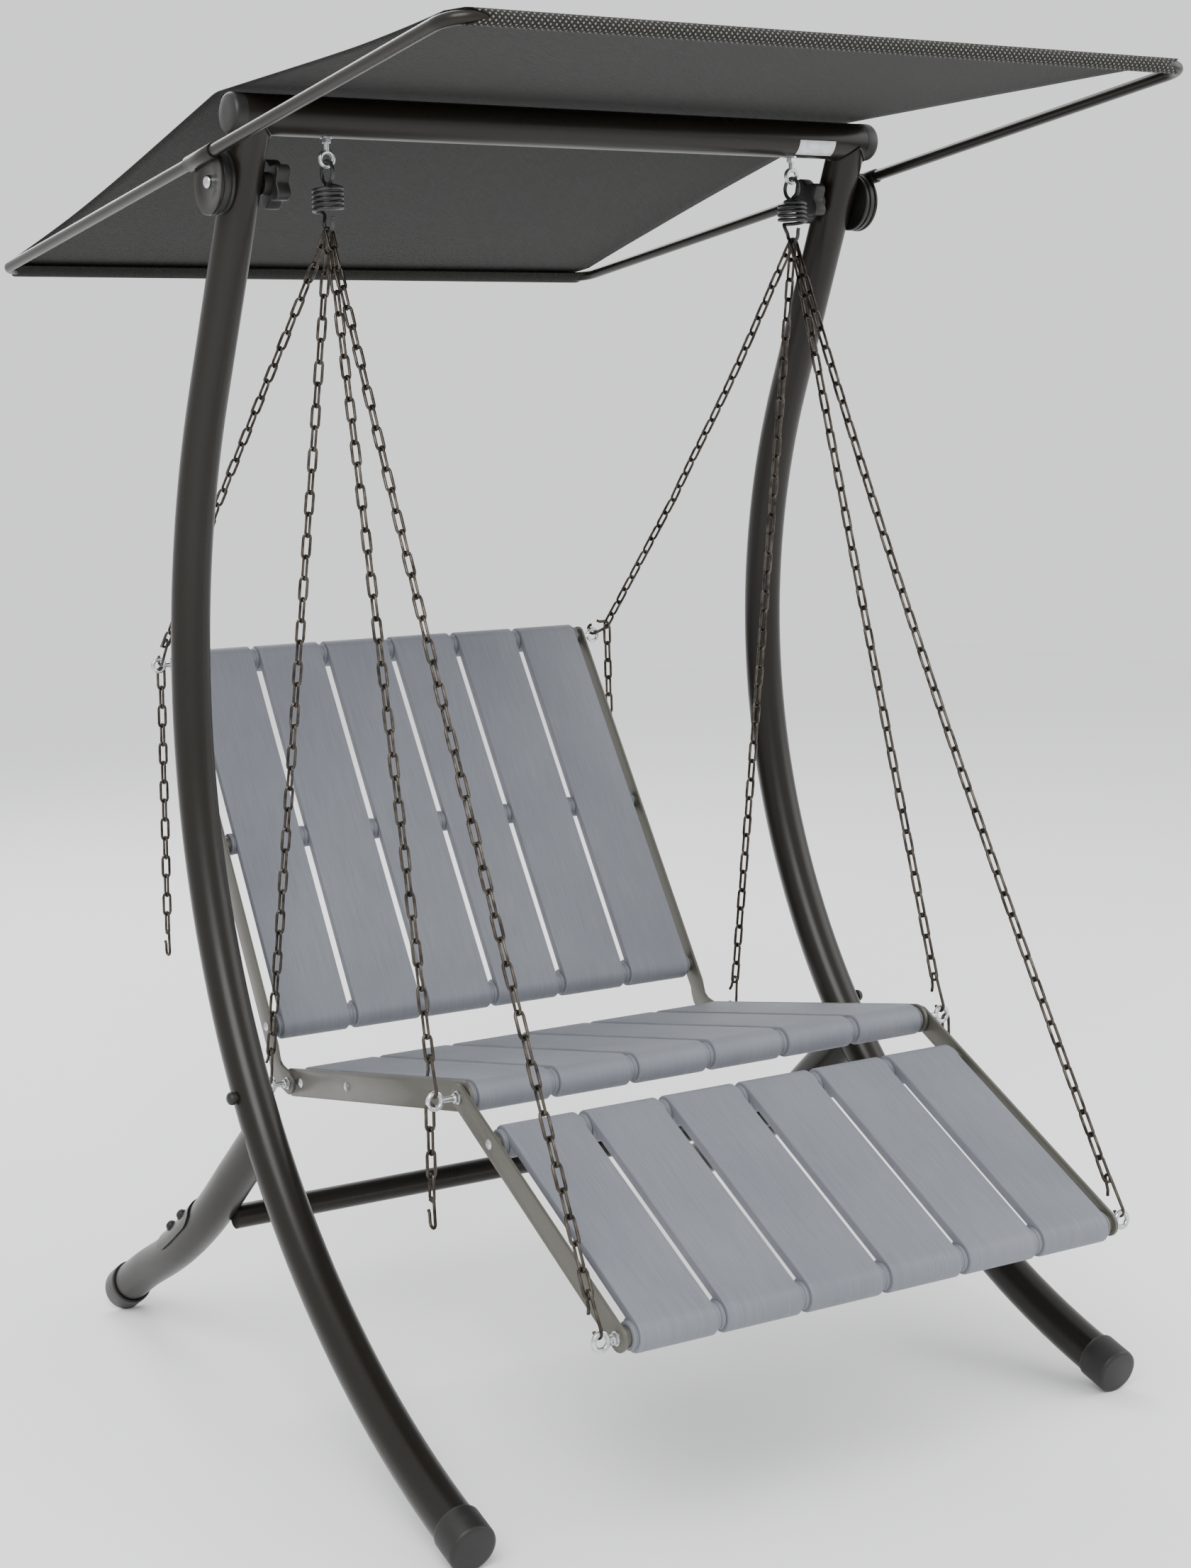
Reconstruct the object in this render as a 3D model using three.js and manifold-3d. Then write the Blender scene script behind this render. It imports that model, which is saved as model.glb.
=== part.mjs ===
// Garden porch swing with canopy, adjustable backrest and footrest.
// Millimetres, +Z up, X across the seat, the sitter faces -Y.
// Heights and depths below are measured from the crossbar's axis in Y and from the floor in Z;
// barY places that axis in the part's own frame.
import * as THREE from "three";
import { mergeVertices } from "three/addons/utils/BufferGeometryUtils.js";
import Module from "manifold-3d";

const wasm = await Module();
wasm.setup();

// ---- driving dimensions ----
const barY = -107.5;                        // crossbar axis in the part's frame
const gap = 0.3;                            // clearance between touching pieces
const tubeR = 30;                           // main frame tube
const bowX = 542;                           // half spacing of the two bows
const barZ = 1874;                          // crossbar axis height
const barHalf = bowX + 18;                  // half length of the crossbar without end caps
const capLength = 22;                       // crossbar end cap
const bowApex = { y: 262, z: 1045 };
const bowUpperR = 1085;                     // bend radius above the apex
const bowLowerR = 1049;                     // bend radius below the apex
const seamZ = barZ - 159;                   // joint between crossbar stub and bow
const footCapR = tubeR + 3.5;
const footZ = footCapR - 2.1;               // height of the tube axis at the front foot's end
const footCapLength = 44;
const lowerBar = { y: 188, z: 249, r: 17.5 };
const pivotZ = barZ - 94;                   // canopy tilt axis height
const canopyAngle = 6.65 * Math.PI / 180;
const rodR = 9;                             // canopy rods
const rodLift = 36;                         // rod axis above the tilt axis
const canopyFront = -665;
const canopyRear = 880;
const rodBend = 40;
const hemWall = 1.9;                        // sleeve of fabric round the rods
const sheetThick = 1.6;
const sheetGap = 1.08;                      // between the crossbar and the fabric
const discR = 47;
const discThick = 17.7;
const clipR = 48;
const clipThick = 5;
const rodX = bowX + tubeR + gap + discThick + gap + 11.7;  // half spacing of the canopy side rods
const boltR = 4;
const eyeX = bowX - 119;                    // spring positions along the crossbar
const eyeZ = barZ - 60;                     // centre of the top eye rings
const eyeRingR = 10.5;                      // ring centre radius
const eyeWireR = 3.5;
const hookZ = barZ - 163;                   // where the chains hang in the spring hooks
const springWireR = 3;
const springR = 21;
const seatRear = { y: 240, z: 420 };        // backrest hinge
const seatFront = { y: -279, z: 514 };      // footrest hinge
const backTop = { y: 632, z: 1038 };
const backBend = { y: 292, z: 462 };        // the backrest's bar bends here
const backKnee = { y: 282, z: 430 };
const footFront = { y: -647, z: 304 };
const barThick = 5;
const seatBarHigh = 42;
const sideBarHigh = 35;
const crossTubeR = 12.5;
const slatWidth = 116;
const slatPitch = slatWidth + 15;
const slatCount = 6;
const seatBarX = slatCount * slatPitch / 2 + 1;  // inner face of the seat's side bars
const outerBarX = seatBarX + barThick + 3;  // inner face of the backrest's and footrest's side bars
const rollR = crossTubeR + 9.5;             // rounded slat end round a cross tube
const slatThick = 14;
const collarR = crossTubeR + 5;
const seatRearTubeAt = 30;                  // cross tubes, measured along the side bars from the hinge
const seatMidTubeAt = 183;
const backBottomTubeAt = 36;                // measured from the bend
const backMidTubeAt = 341;
const footRearTubeAt = 90;
const chainR = 2.6;                         // plain rods stand for the chains
const backSleeveR = 5.2;
const chainStart = 34;
const chainEnd = 27;
const backSlide = 256;                      // eight chain links let out at full recline
const backTailLength = 455;
const seatTailLength = 168;
const seatBarEnd = 13;                      // the seat's side bars end this far behind the backrest hinge
const seatEyeX = outerBarX + 41;
const seatTailX = seatEyeX + 8;
const rearEyeX = outerBarX + 38;
const backEyeX = outerBarX + 33;
const footEyeX = outerBarX + 28;
const footChainX = footEyeX + 20.5;         // runs just outside the footrest eye
const backChainX = (eyeX + backEyeX) / 2;   // between the hook and the eye
const backTubeBore = crossTubeR - 2.3;      // hollow, which keeps the bench level

// ---- colours ----
const paint = {
  frame: { color: 0x2e2e31, roughness: 0.45, metalness: 0.6 },
  plastic: { color: 0x131314, roughness: 0.6, metalness: 0 },
  fabric: { color: 0x26251f, roughness: 0.95, metalness: 0 },
  slat: { color: 0x697079, roughness: 0.7, metalness: 0 },
  bar: { color: 0x504e46, roughness: 0.5, metalness: 0.5 },
  zinc: { color: 0xc4c6c8, roughness: 0.3, metalness: 1 },
  chain: { color: 0x3b3731, roughness: 0.45, metalness: 0.9 },
  spring: { color: 0x151516, roughness: 0.45, metalness: 0.4 },
  plate: { color: 0xb8babd, roughness: 0.35, metalness: 0.8 },
};

// ---- small helpers ----
const model = new THREE.Group();
model.name = "porch_swing";

function addPart(name, geometry, kind) {
  const material = new THREE.MeshStandardMaterial(paint[kind]);
  const mesh = new THREE.Mesh(geometry, material);
  mesh.name = name;
  mesh.position.y = barY;
  model.add(mesh);
  return mesh;
}

function toSolid(geometry) {
  const bare = geometry.clone();
  for (const key of Object.keys(bare.attributes)) {
    if (key !== "position") bare.deleteAttribute(key);
  }
  const merged = mergeVertices(bare, 1e-4);
  const mesh = new wasm.Mesh({
    numProp: 3,
    vertProperties: new Float32Array(merged.attributes.position.array),
    triVerts: new Uint32Array(merged.index.array),
  });
  return new wasm.Manifold(mesh);
}

function fromSolid(solid) {
  const mesh = solid.getMesh();
  const geometry = new THREE.BufferGeometry();
  const values = new Float32Array(mesh.vertProperties);
  geometry.setAttribute("position", new THREE.BufferAttribute(values, 3));
  geometry.setIndex(new THREE.BufferAttribute(new Uint32Array(mesh.triVerts), 1));
  geometry.computeVertexNormals();
  return geometry;
}

function joined(geometries) {
  return geometries.map(toSolid).reduce((sum, next) => sum.add(next));
}

function cut(solid, geometries) {
  return geometries.map(toSolid).reduce((left, next) => left.subtract(next), solid);
}

// A path that keeps its own points, so that straight runs take one step.
class StepPath extends THREE.Curve {
  constructor(points) {
    super();
    this.points = points;
  }

  getPoint(t, target = new THREE.Vector3()) {
    const last = this.points.length - 1;
    const at = Math.min(Math.max(t, 0), 1) * last;
    const i = Math.min(Math.floor(at + 1e-9), last - 1);
    return target.copy(this.points[i]).lerp(this.points[i + 1], at - i);
  }

  getPointAt(u, target) {
    return this.getPoint(u, target);
  }

  getTangentAt(u, target = new THREE.Vector3()) {
    const last = this.points.length - 1;
    const i = Math.round(u * last);
    const a = this.points[Math.max(i - 1, 0)];
    const b = this.points[i];
    const c = this.points[Math.min(i + 1, last)];
    const before = b.clone().sub(a).normalize();
    const after = c.clone().sub(b).normalize();
    return target.copy(before).add(after).normalize();
  }
}

function ringShape(r, sides, turn = 0) {
  const shape = new THREE.Shape();
  for (let i = 0; i < sides; i++) {
    const a = turn + i * 2 * Math.PI / sides;
    if (i === 0) shape.moveTo(r * Math.cos(a), r * Math.sin(a));
    else shape.lineTo(r * Math.cos(a), r * Math.sin(a));
  }
  shape.closePath();
  return shape;
}

function sweep(points, shape) {
  const path = new StepPath(points);
  const options = { steps: points.length - 1, extrudePath: path, bevelEnabled: false };
  return new THREE.ExtrudeGeometry(shape, options);
}

// Straight round bar between two points.
function rod(a, b, r, sides = 12) {
  const start = new THREE.Vector3(...a);
  const end = new THREE.Vector3(...b);
  const geometry = new THREE.CylinderGeometry(r, r, start.distanceTo(end), sides);
  const along = end.clone().sub(start).normalize();
  geometry.applyQuaternion(new THREE.Quaternion().setFromUnitVectors(new THREE.Vector3(0, 1, 0), along));
  geometry.translate(...start.add(end).multiplyScalar(0.5).toArray());
  return geometry;
}

// Outline in the Y-Z plane, given thickness along X from x0 to x1.
function plateX(shape, x0, x1, curveSegments = 12) {
  const geometry = new THREE.ExtrudeGeometry(shape, { depth: x1 - x0, bevelEnabled: false, curveSegments });
  const turn = new THREE.Matrix4().set(0, 0, 1, x0, 1, 0, 0, 0, 0, 1, 0, 0, 0, 0, 0, 1);
  return geometry.applyMatrix4(turn);
}

function lathe(profile, sides) {
  return new THREE.LatheGeometry(profile.map(([r, h]) => new THREE.Vector2(r, h)), sides);
}

// Turns a lathe's +Y axis to a direction and moves its origin to a place.
function aim(geometry, place, direction) {
  const along = new THREE.Vector3(...direction).normalize();
  geometry.applyQuaternion(new THREE.Quaternion().setFromUnitVectors(new THREE.Vector3(0, 1, 0), along));
  return geometry.translate(...place);
}

// The same outline on the other side of the swing.
function mirrorX(geometry) {
  const other = geometry.clone();
  const position = other.attributes.position;
  for (let i = 0; i < position.count; i++) position.setX(i, -position.getX(i));
  const index = other.index.array;
  for (let i = 0; i < index.length; i += 3) [index[i], index[i + 2]] = [index[i + 2], index[i]];
  other.computeVertexNormals();
  return other;
}

// Builds a piece for the +X side and its mirror image.
function addPair(name, solid, kind) {
  const right = fromSolid(solid);
  addPart(name + "_r", right, kind);
  addPart(name + "_l", mirrorX(right), kind);
}

const yz = (x, p) => new THREE.Vector3(x, p.y, p.z);

function along(a, b, distance, lift = 0) {
  const dy = b.y - a.y;
  const dz = b.z - a.z;
  const length = Math.hypot(dy, dz);
  return {
    y: a.y + dy * distance / length - dz * lift / length,
    z: a.z + dz * distance / length + dy * lift / length,
  };
}

const span = (a, b) => Math.hypot(b.y - a.y, b.z - a.z);

// ---- bow line: lower bend, upper bend, straight to the crossbar ----
const upperY = bowApex.y - bowUpperR;
const lowerY = bowApex.y - bowLowerR;
const barReach = Math.hypot(upperY, barZ - bowApex.z);
const topAngle = Math.atan2(barZ - bowApex.z, -upperY) - Math.acos(bowUpperR / barReach);
const footAngle = -Math.asin((bowApex.z - footZ) / bowLowerR);
const straightSlope = Math.tan(topAngle);

function bowAt(angle) {
  const below = angle < 0;
  const r = below ? bowLowerR : bowUpperR;
  return { y: (below ? lowerY : upperY) + r * Math.cos(angle), z: bowApex.z + r * Math.sin(angle) };
}

const straightY = (z) => (barZ - z) * straightSlope;

function bowPoints(endZ) {
  const points = [];
  for (let i = 0; i <= 13; i++) points.push(yz(bowX, bowAt(footAngle * (1 - i / 13))));
  for (let i = 1; i <= 4; i++) points.push(yz(bowX, bowAt(topAngle * i / 4)));
  points.push(yz(bowX, { y: straightY(endZ), z: endZ }));
  return points;
}

const pivot = { y: straightY(pivotZ), z: pivotZ };
const sheetR = Math.hypot(pivot.y, barZ - pivotZ) + tubeR + sheetGap;

// ---- frame ----
function addCrossbar() {
  const bar = rod([-barHalf, 0, barZ], [barHalf, 0, barZ], tubeR, 16);
  const stubs = [-bowX, bowX].map((x) => rod([x, 0, barZ], [x, straightY(seamZ), seamZ], tubeR, 14));
  const boltHoles = [-bowX, bowX].map((x) =>
    rod([x - 40, pivot.y, pivot.z], [x + 40, pivot.y, pivot.z], boltR + 0.4, 8));
  const eyeHoles = [-eyeX, eyeX].map((x) => rod([x, 0, barZ - 60], [x, 0, barZ + 12], boltR + 0.4, 8));
  const capRooms = [-1, 1].map((side) =>
    rod([side * barHalf, 0, barZ], [side * (barHalf + 40), 0, barZ], tubeR + gap, 16));
  const holes = [...boltHoles, ...eyeHoles, ...capRooms];
  addPart("crossbar", fromSolid(cut(joined([bar, ...stubs]), holes)), "frame");
}

function addCrossbarCaps() {
  const profile = [[0, 0], [tubeR, 0], [tubeR, capLength - 5], [tubeR - 4, capLength], [0, capLength]];
  const cap = aim(lathe(profile, 16), [barHalf + gap, 0, barZ], [1, 0, 0]);
  addPair("crossbar_cap", toSolid(cap), "plastic");
}

function addBows() {
  addPair("bow", toSolid(sweep(bowPoints(seamZ - gap), ringShape(tubeR, 14))), "frame");
}

// Foot cap: a cup over the tube's end, with a small flat to stand on.
function footCap(end, direction) {
  const inner = tubeR + 0.9;
  const profile = [[0, 0], [footCapR - 3, 0], [footCapR, 3], [footCapR, footCapLength]];
  profile.push([inner, footCapLength], [inner, 5], [0, 5]);
  const back = direction.map((value) => -value);
  const place = [bowX, end.y + direction[1] * 5.5, end.z + direction[2] * 5.5];
  const cup = aim(lathe(profile, 18), place, back);
  const ground = new THREE.BoxGeometry(200, 200, 100).translate(bowX, end.y, -50);
  return cut(toSolid(cup), [ground]);
}

const frontEnd = bowAt(footAngle);
const frontNext = bowPoints(seamZ)[1];
const frontRun = span(frontEnd, frontNext);
const frontDirection = [0, (frontEnd.y - frontNext.y) / frontRun, (frontEnd.z - frontNext.z) / frontRun];

// ---- rear legs ----
const legLine = [
  { y: 62, z: 396 }, { y: 134, z: 334 }, { y: 230, z: 251 }, { y: 317, z: 187 }, { y: 395, z: 139 },
  { y: 495, z: 86 }, { y: 590, z: footCapR - 4.9 },
];
const legJoin = 3;              // the leg stub ends at this point of its line

function addRearLegs() {
  const line = legLine.map((p) => yz(bowX, p));
  const stub = sweep(line.slice(0, legJoin + 1), ringShape(tubeR, 14));
  const clear = sweep(bowPoints(seamZ), ringShape(tubeR + gap, 14));
  const footLine = [line[legJoin].clone().lerp(line[legJoin + 1], 0.05), ...line.slice(legJoin + 1)];
  const footRoom = sweep([line[legJoin].clone().lerp(line[legJoin + 1], 0.045), ...line.slice(legJoin + 1)],
    ringShape(tubeR, 14));
  addPair("rear_leg", cut(joined([stub, saddle(line)]), [clear, footRoom]), "frame");
  addPair("rear_foot", toSolid(sweep(footLine, ringShape(tubeR - gap, 14))), "frame");
}

// Half shell on the upper side of the leg, reaching over the foot tube, with two dome bolts.
function saddle(line) {
  const shell = new THREE.Shape();
  const steps = 7;
  for (let i = 0; i <= steps; i++) {
    const a = Math.PI * (-0.05 + 1.1 * i / steps);
    if (i === 0) shell.moveTo((tubeR + 3.5) * Math.cos(a), (tubeR + 3.5) * Math.sin(a));
    else shell.lineTo((tubeR + 3.5) * Math.cos(a), (tubeR + 3.5) * Math.sin(a));
  }
  for (let i = steps; i >= 0; i--) {
    const a = Math.PI * (-0.05 + 1.1 * i / steps);
    shell.lineTo((tubeR - 1) * Math.cos(a), (tubeR - 1) * Math.sin(a));
  }
  shell.closePath();
  const from = line[2].clone().lerp(line[3], 0.4);
  const to = line[3].clone().lerp(line[4], 0.45);
  const cover = sweep([from, line[3], to], shell);
  const heads = [2.72, 3.25].map((at) => {
    const i = Math.floor(at);
    const p = line[i].clone().lerp(line[i + 1], at - i);
    const run = line[i + 1].clone().sub(line[i]).normalize();
    const out = [0, -run.z, run.y];
    const profile = [[0, tubeR + 1], [8.5, tubeR + 1], [8.5, tubeR + 5], [6, tubeR + 8.5], [0, tubeR + 9.5]];
    return aim(lathe(profile, 8), p.toArray(), out);
  });
  return fromSolid(joined([cover, ...heads]));
}

const rearEnd = legLine[legLine.length - 1];
const rearLast = legLine[legLine.length - 2];
const rearRun = span(rearLast, rearEnd);
const rearDirection = [0, (rearEnd.y - rearLast.y) / rearRun, (rearEnd.z - rearLast.z) / rearRun];

function addFootCaps() {
  addPair("foot_cap_front", footCap(frontEnd, frontDirection), "plastic");
  addPair("foot_cap_rear", footCap(rearEnd, rearDirection), "plastic");
}

function addLowerBar() {
  const end = bowX;
  const bar = rod([-end, lowerBar.y, lowerBar.z], [end, lowerBar.y, lowerBar.z], lowerBar.r, 12);
  const legs = [-bowX, bowX].map((x) => {
    const line = legLine.map((p) => yz(x, p));
    return sweep(line.slice(0, legJoin + 1), ringShape(tubeR + gap, 14));
  });
  addPart("lower_bar", fromSolid(cut(toSolid(bar), legs)), "frame");
}

// Dome bolts on the outer side of each bow.
function addBowBolts() {
  const profile = [[0, 0], [6, 0], [6, 9], [9, 9], [9, 13], [6.5, 17], [0, 18.5]];
  const bolt = aim(lathe(profile, 10), [bowX + tubeR - 4, 78, 458], [1, 0, 0]);
  const clear = sweep(bowPoints(seamZ), ringShape(tubeR + gap, 14));
  addPair("bow_bolt", cut(toSolid(bolt), [clear]), "plastic");
}

function hexNut(place, direction, across, high) {
  return aim(new THREE.CylinderGeometry(across / 1.732, across / 1.732, high, 6), place, direction);
}

function eyeRing() {
  const profile = [];
  for (let i = 0; i <= 5; i++) {
    const a = i * Math.PI / 2.5;
    profile.push([eyeRingR + eyeWireR * Math.cos(a), eyeWireR * Math.sin(a)]);
  }
  return lathe(profile, 10);
}

function addTopEyes() {
  const placed = aim(eyeRing(), [eyeX, 0, eyeZ], [0, 1, 0]);
  const shank = rod([eyeX, 0, eyeZ + eyeRingR], [eyeX, 0, barZ + 8], boltR, 8);
  const nut = hexNut([eyeX, 0, barZ - tubeR - 4.3], [0, 0, 1], 13, 7);
  addPair("top_eye", joined([placed, shank, nut]), "zinc");
}

// Blank plate that follows the crossbar's front.
function addPlate() {
  const shape = new THREE.Shape();
  const from = Math.PI + 0.17;
  const to = Math.PI + 1.08;
  const steps = 5;
  for (let i = 0; i <= steps; i++) {
    const a = from + (to - from) * i / steps;
    if (i === 0) shape.moveTo((tubeR + 1.3) * Math.cos(a), (tubeR + 1.3) * Math.sin(a));
    else shape.lineTo((tubeR + 1.3) * Math.cos(a), (tubeR + 1.3) * Math.sin(a));
  }
  for (let i = steps; i >= 0; i--) {
    const a = from + (to - from) * i / steps;
    shape.lineTo((tubeR + gap) * Math.cos(a), (tubeR + gap) * Math.sin(a));
  }
  shape.closePath();
  addPart("name_plate", plateX(shape, bowX - 122, bowX - 50).translate(0, 0, barZ), "plate");
}

// ---- canopy ----
const rodZ = (y) => pivot.z + rodLift / Math.cos(canopyAngle) - (y - pivot.y) * Math.tan(canopyAngle);

// Half of the canopy frame: from inside the clips round one end.
function rodPath(endY, startY) {
  const sign = Math.sign(endY - startY);
  const points = [];
  const corner = (x, y) => new THREE.Vector3(x, y, rodZ(y));
  points.push(corner(-rodX, startY));
  for (let i = 0; i <= 4; i++) {
    const a = i * Math.PI / 8;
    const y = endY - sign * rodBend * (1 - Math.sin(a));
    points.push(corner(-rodX + rodBend * (1 - Math.cos(a)), y));
  }
  const other = points.map((p) => new THREE.Vector3(-p.x, p.y, p.z)).reverse();
  return [...points, ...other];
}

function addCanopyRods() {
  const front = sweep(rodPath(canopyFront, pivot.y - 0.3), ringShape(rodR, 8, Math.PI / 8));
  const rear = sweep(rodPath(canopyRear, pivot.y + 0.3), ringShape(rodR, 8, Math.PI / 8));
  addPart("canopy_frame_front", front, "frame");
  addPart("canopy_frame_rear", rear, "frame");
}

function hemPath(endY) {
  return rodPath(endY, pivot.y).slice(1, -1);
}

// Outline of the fabric seen from above, narrower over the crossbar.
function sheetOutline() {
  const shape = new THREE.Shape();
  const half = rodX + 2;
  const waist = rodX - 28;
  const right = [];
  const corner = rodBend + 10;
  const from = canopyFront - rodR - hemWall;
  const to = canopyRear + rodR + hemWall;
  for (let i = 0; i <= 3; i++) {
    const a = i * Math.PI / 6;
    right.push([half - corner + corner * Math.sin(a), from + corner - corner * Math.cos(a)]);
  }
  const middle = [[-480, rodX - 19], [-240, waist], [300, waist], [720, rodX - 14]];
  for (const [y, x] of middle) right.push([x, y]);
  for (let i = 0; i <= 3; i++) {
    const a = i * Math.PI / 6;
    right.push([half - corner + corner * Math.cos(a), to - corner + corner * Math.sin(a)]);
  }
  right.forEach(([x, y], i) => (i ? shape.lineTo(x, y) : shape.moveTo(x, y)));
  right.reverse().forEach(([x, y]) => shape.lineTo(-x, y));
  shape.closePath();
  return shape;
}

function addFabric() {
  const hemR = rodR + hemWall;
  const topOf = (y) => ({ y, z: rodZ(y) + hemR - sheetThick });
  const front = topOf(canopyFront);
  const rear = topOf(canopyRear);
  const tangent = (p) => {
    const reach = Math.hypot(p.y - pivot.y, p.z - pivot.z);
    const lean = Math.acos(sheetR / reach);
    const at = Math.atan2(p.z - pivot.z, p.y - pivot.y);
    return p.y < pivot.y ? at - lean : at + lean;
  };
  const a0 = tangent(front);
  const a1 = tangent(rear);
  const line = [front];
  for (let i = 0; i <= 4; i++) {
    const a = a0 + (a1 - a0) * i / 4;
    line.push({ y: pivot.y + sheetR * Math.cos(a), z: pivot.z + sheetR * Math.sin(a) });
  }
  line.push(rear);
  const shape = new THREE.Shape();
  line.forEach((p, i) => (i ? shape.lineTo(p.y, p.z) : shape.moveTo(p.y, p.z)));
  [...line].reverse().forEach((p) => shape.lineTo(p.y, p.z + sheetThick));
  shape.closePath();
  const sheet = plateX(shape, -rodX - 20, rodX + 20);
  const outline = new THREE.ExtrudeGeometry(sheetOutline(), { depth: 600, bevelEnabled: false });
  outline.translate(0, 0, pivotZ - 280);
  const hems = [canopyFront, canopyRear].map((y) => sweep(hemPath(y), ringShape(hemR, 8, Math.PI / 8)));
  const bores = [canopyFront, canopyRear].map((y) =>
    sweep(rodPath(y, pivot.y), ringShape(rodR + 0.45, 8, Math.PI / 8)));
  const body = toSolid(sheet).intersect(toSolid(outline)).add(toSolid(hems[0])).add(toSolid(hems[1]));
  addPart("canopy_fabric", fromSolid(cut(body, bores)), "fabric");
}

function addTiltClamps() {
  const inner = bowX + tubeR + gap;
  const bore = (x0, x1, r) => rod([x0, pivot.y, pivot.z], [x1, pivot.y, pivot.z], r, 12);
  const disc = rod([inner, pivot.y, pivot.z], [inner + discThick, pivot.y, pivot.z], discR, 22);
  const discBore = bore(inner - 1, inner + discThick + 1, boltR + 0.4);
  addPair("friction_disc", cut(toSolid(disc), [discBore]), "plastic");

  const plateFrom = inner + discThick + gap;
  const plate = rod([plateFrom, pivot.y, pivot.z], [plateFrom + clipThick, pivot.y, pivot.z], clipR, 22);
  const half = 43;
  const rodAt = (s) => [rodX, pivot.y + s * Math.cos(canopyAngle) + rodLift * Math.sin(canopyAngle),
    pivot.z - s * Math.sin(canopyAngle) + rodLift * Math.cos(canopyAngle)];
  const sleeve = rod(rodAt(-half), rodAt(half), rodR + 2.6, 12);
  const hollow = rod(rodAt(-half - 5), rodAt(half + 5), rodR + 0.45, 12);
  const clip = cut(joined([plate, sleeve]), [hollow, bore(plateFrom - 1, plateFrom + 9, boltR + 0.4)]);
  addPair("canopy_clip", clip, "frame");

  const headFrom = plateFrom + clipThick + gap;
  const head = [[0, 0], [9.5, 0], [9.5, 1.5], [7, 4.5], [0, 6]];
  const knobOuter = bowX - tubeR - gap;
  const bolt = [aim(lathe(head, 12), [headFrom, pivot.y, pivot.z], [1, 0, 0]),
    bore(knobOuter - 26, headFrom + 1, boltR)];
  addPair("tilt_bolt", joined(bolt), "zinc");

  const star = new THREE.Shape();
  for (let i = 0; i < 30; i++) {
    const a = i * Math.PI / 15;
    const r = 32.5 + 5.5 * Math.cos(5 * a);
    if (i === 0) star.moveTo(pivot.y + r * Math.cos(a), pivot.z + r * Math.sin(a));
    else star.lineTo(pivot.y + r * Math.cos(a), pivot.z + r * Math.sin(a));
  }
  star.closePath();
  const hub = rod([knobOuter - 14, pivot.y, pivot.z], [knobOuter, pivot.y, pivot.z], 17, 14);
  const grip = plateX(star, knobOuter - 34, knobOuter - 12);
  const knobBore = bore(knobOuter - 27, knobOuter + 1, boltR + 0.4);
  addPair("tilt_knob", cut(joined([grip, hub]), [knobBore]), "plastic");
}

// ---- springs: ring, close coils, open hook, one wire ----
function addSprings() {
  const ringR = 17;
  const ringZ = eyeZ - eyeRingR + eyeWireR + springWireR + 1.2 - ringR;
  const coilTop = eyeZ - 43;
  const coilLow = hookZ + 27;
  const turns = 4.7;
  const hookR = 13;
  const hookMid = hookZ - springWireR + hookR;
  const points = [];
  const put = (x, y, z) => points.push(new THREE.Vector3(eyeX + x, y, z));
  for (let i = 0; i <= 10; i++) {
    const a = -1.2 + i * (Math.PI * 1.5 + 1.1) / 10;
    put(0, ringR * Math.cos(a), ringZ + ringR * Math.sin(a));
  }
  put(-10, -6, coilTop + 3.2);
  for (let i = 0; i <= 42; i++) {
    const a = Math.PI * 200 / 180 + i * turns * 2 * Math.PI / 42;
    put(springR * Math.cos(a), springR * Math.sin(a), coilTop + (coilLow - coilTop) * i / 42);
  }
  put(-3, 17, coilLow - 5);
  for (let i = 0; i <= 7; i++) {
    const a = -i * Math.PI * 1.05 / 7;
    put(0, hookR * Math.cos(a), hookMid + hookR * Math.sin(a));
  }
  put(0, -14.5, hookMid + 8);
  addPair("spring", toSolid(sweep(points, ringShape(springWireR, 5))), "spring");
}

// ---- seat, backrest and footrest ----
// Side bar: a strip of constant height along a line of points with round ends.
function barShape(line, high, squareEnd = 0) {
  const shape = new THREE.Shape();
  const half = high / 2;
  const cornerR = 8;
  const first = Math.atan2(line[1].z - line[0].z, line[1].y - line[0].y);
  const n = line.length;
  const last = Math.atan2(line[n - 1].z - line[n - 2].z, line[n - 1].y - line[n - 2].y);
  const outline = [];
  for (let i = 0; i <= 5; i++) {
    const a = first + Math.PI * (1.5 - i / 5);
    outline.push([line[0].y + half * Math.cos(a), line[0].z + half * Math.sin(a)]);
  }
  const sides = { left: [], right: [] };
  for (let i = 1; i < n - 1; i++) {
    const ay = line[i + 1].y - line[i - 1].y;
    const az = line[i + 1].z - line[i - 1].z;
    const length = Math.hypot(ay, az);
    sides.left.push([line[i].y - az * half / length, line[i].z + ay * half / length]);
    sides.right.push([line[i].y + az * half / length, line[i].z - ay * half / length]);
  }
  outline.push(...sides.left);
  if (squareEnd) {
    const centre = line[n - 1];
    for (let i = 0; i <= 5; i++) {
      const side = i < 3 ? 1 : -1;
      const a = (i < 3 ? 2 - i : 3 - i) * Math.PI / 4;
      const ahead = squareEnd - cornerR + cornerR * Math.cos(a);
      const aside = side * (half - cornerR) + cornerR * Math.sin(a);
      outline.push([centre.y + ahead * Math.cos(last) - aside * Math.sin(last),
        centre.z + ahead * Math.sin(last) + aside * Math.cos(last)]);
    }
  }
  for (let i = 0; i <= 5 && !squareEnd; i++) {
    const a = last + Math.PI * (0.5 - i / 5);
    outline.push([line[n - 1].y + half * Math.cos(a), line[n - 1].z + half * Math.sin(a)]);
  }
  outline.push(...sides.right.reverse());
  outline.forEach(([y, z], i) => (i ? shape.lineTo(y, z) : shape.moveTo(y, z)));
  shape.closePath();
  return shape;
}

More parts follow.
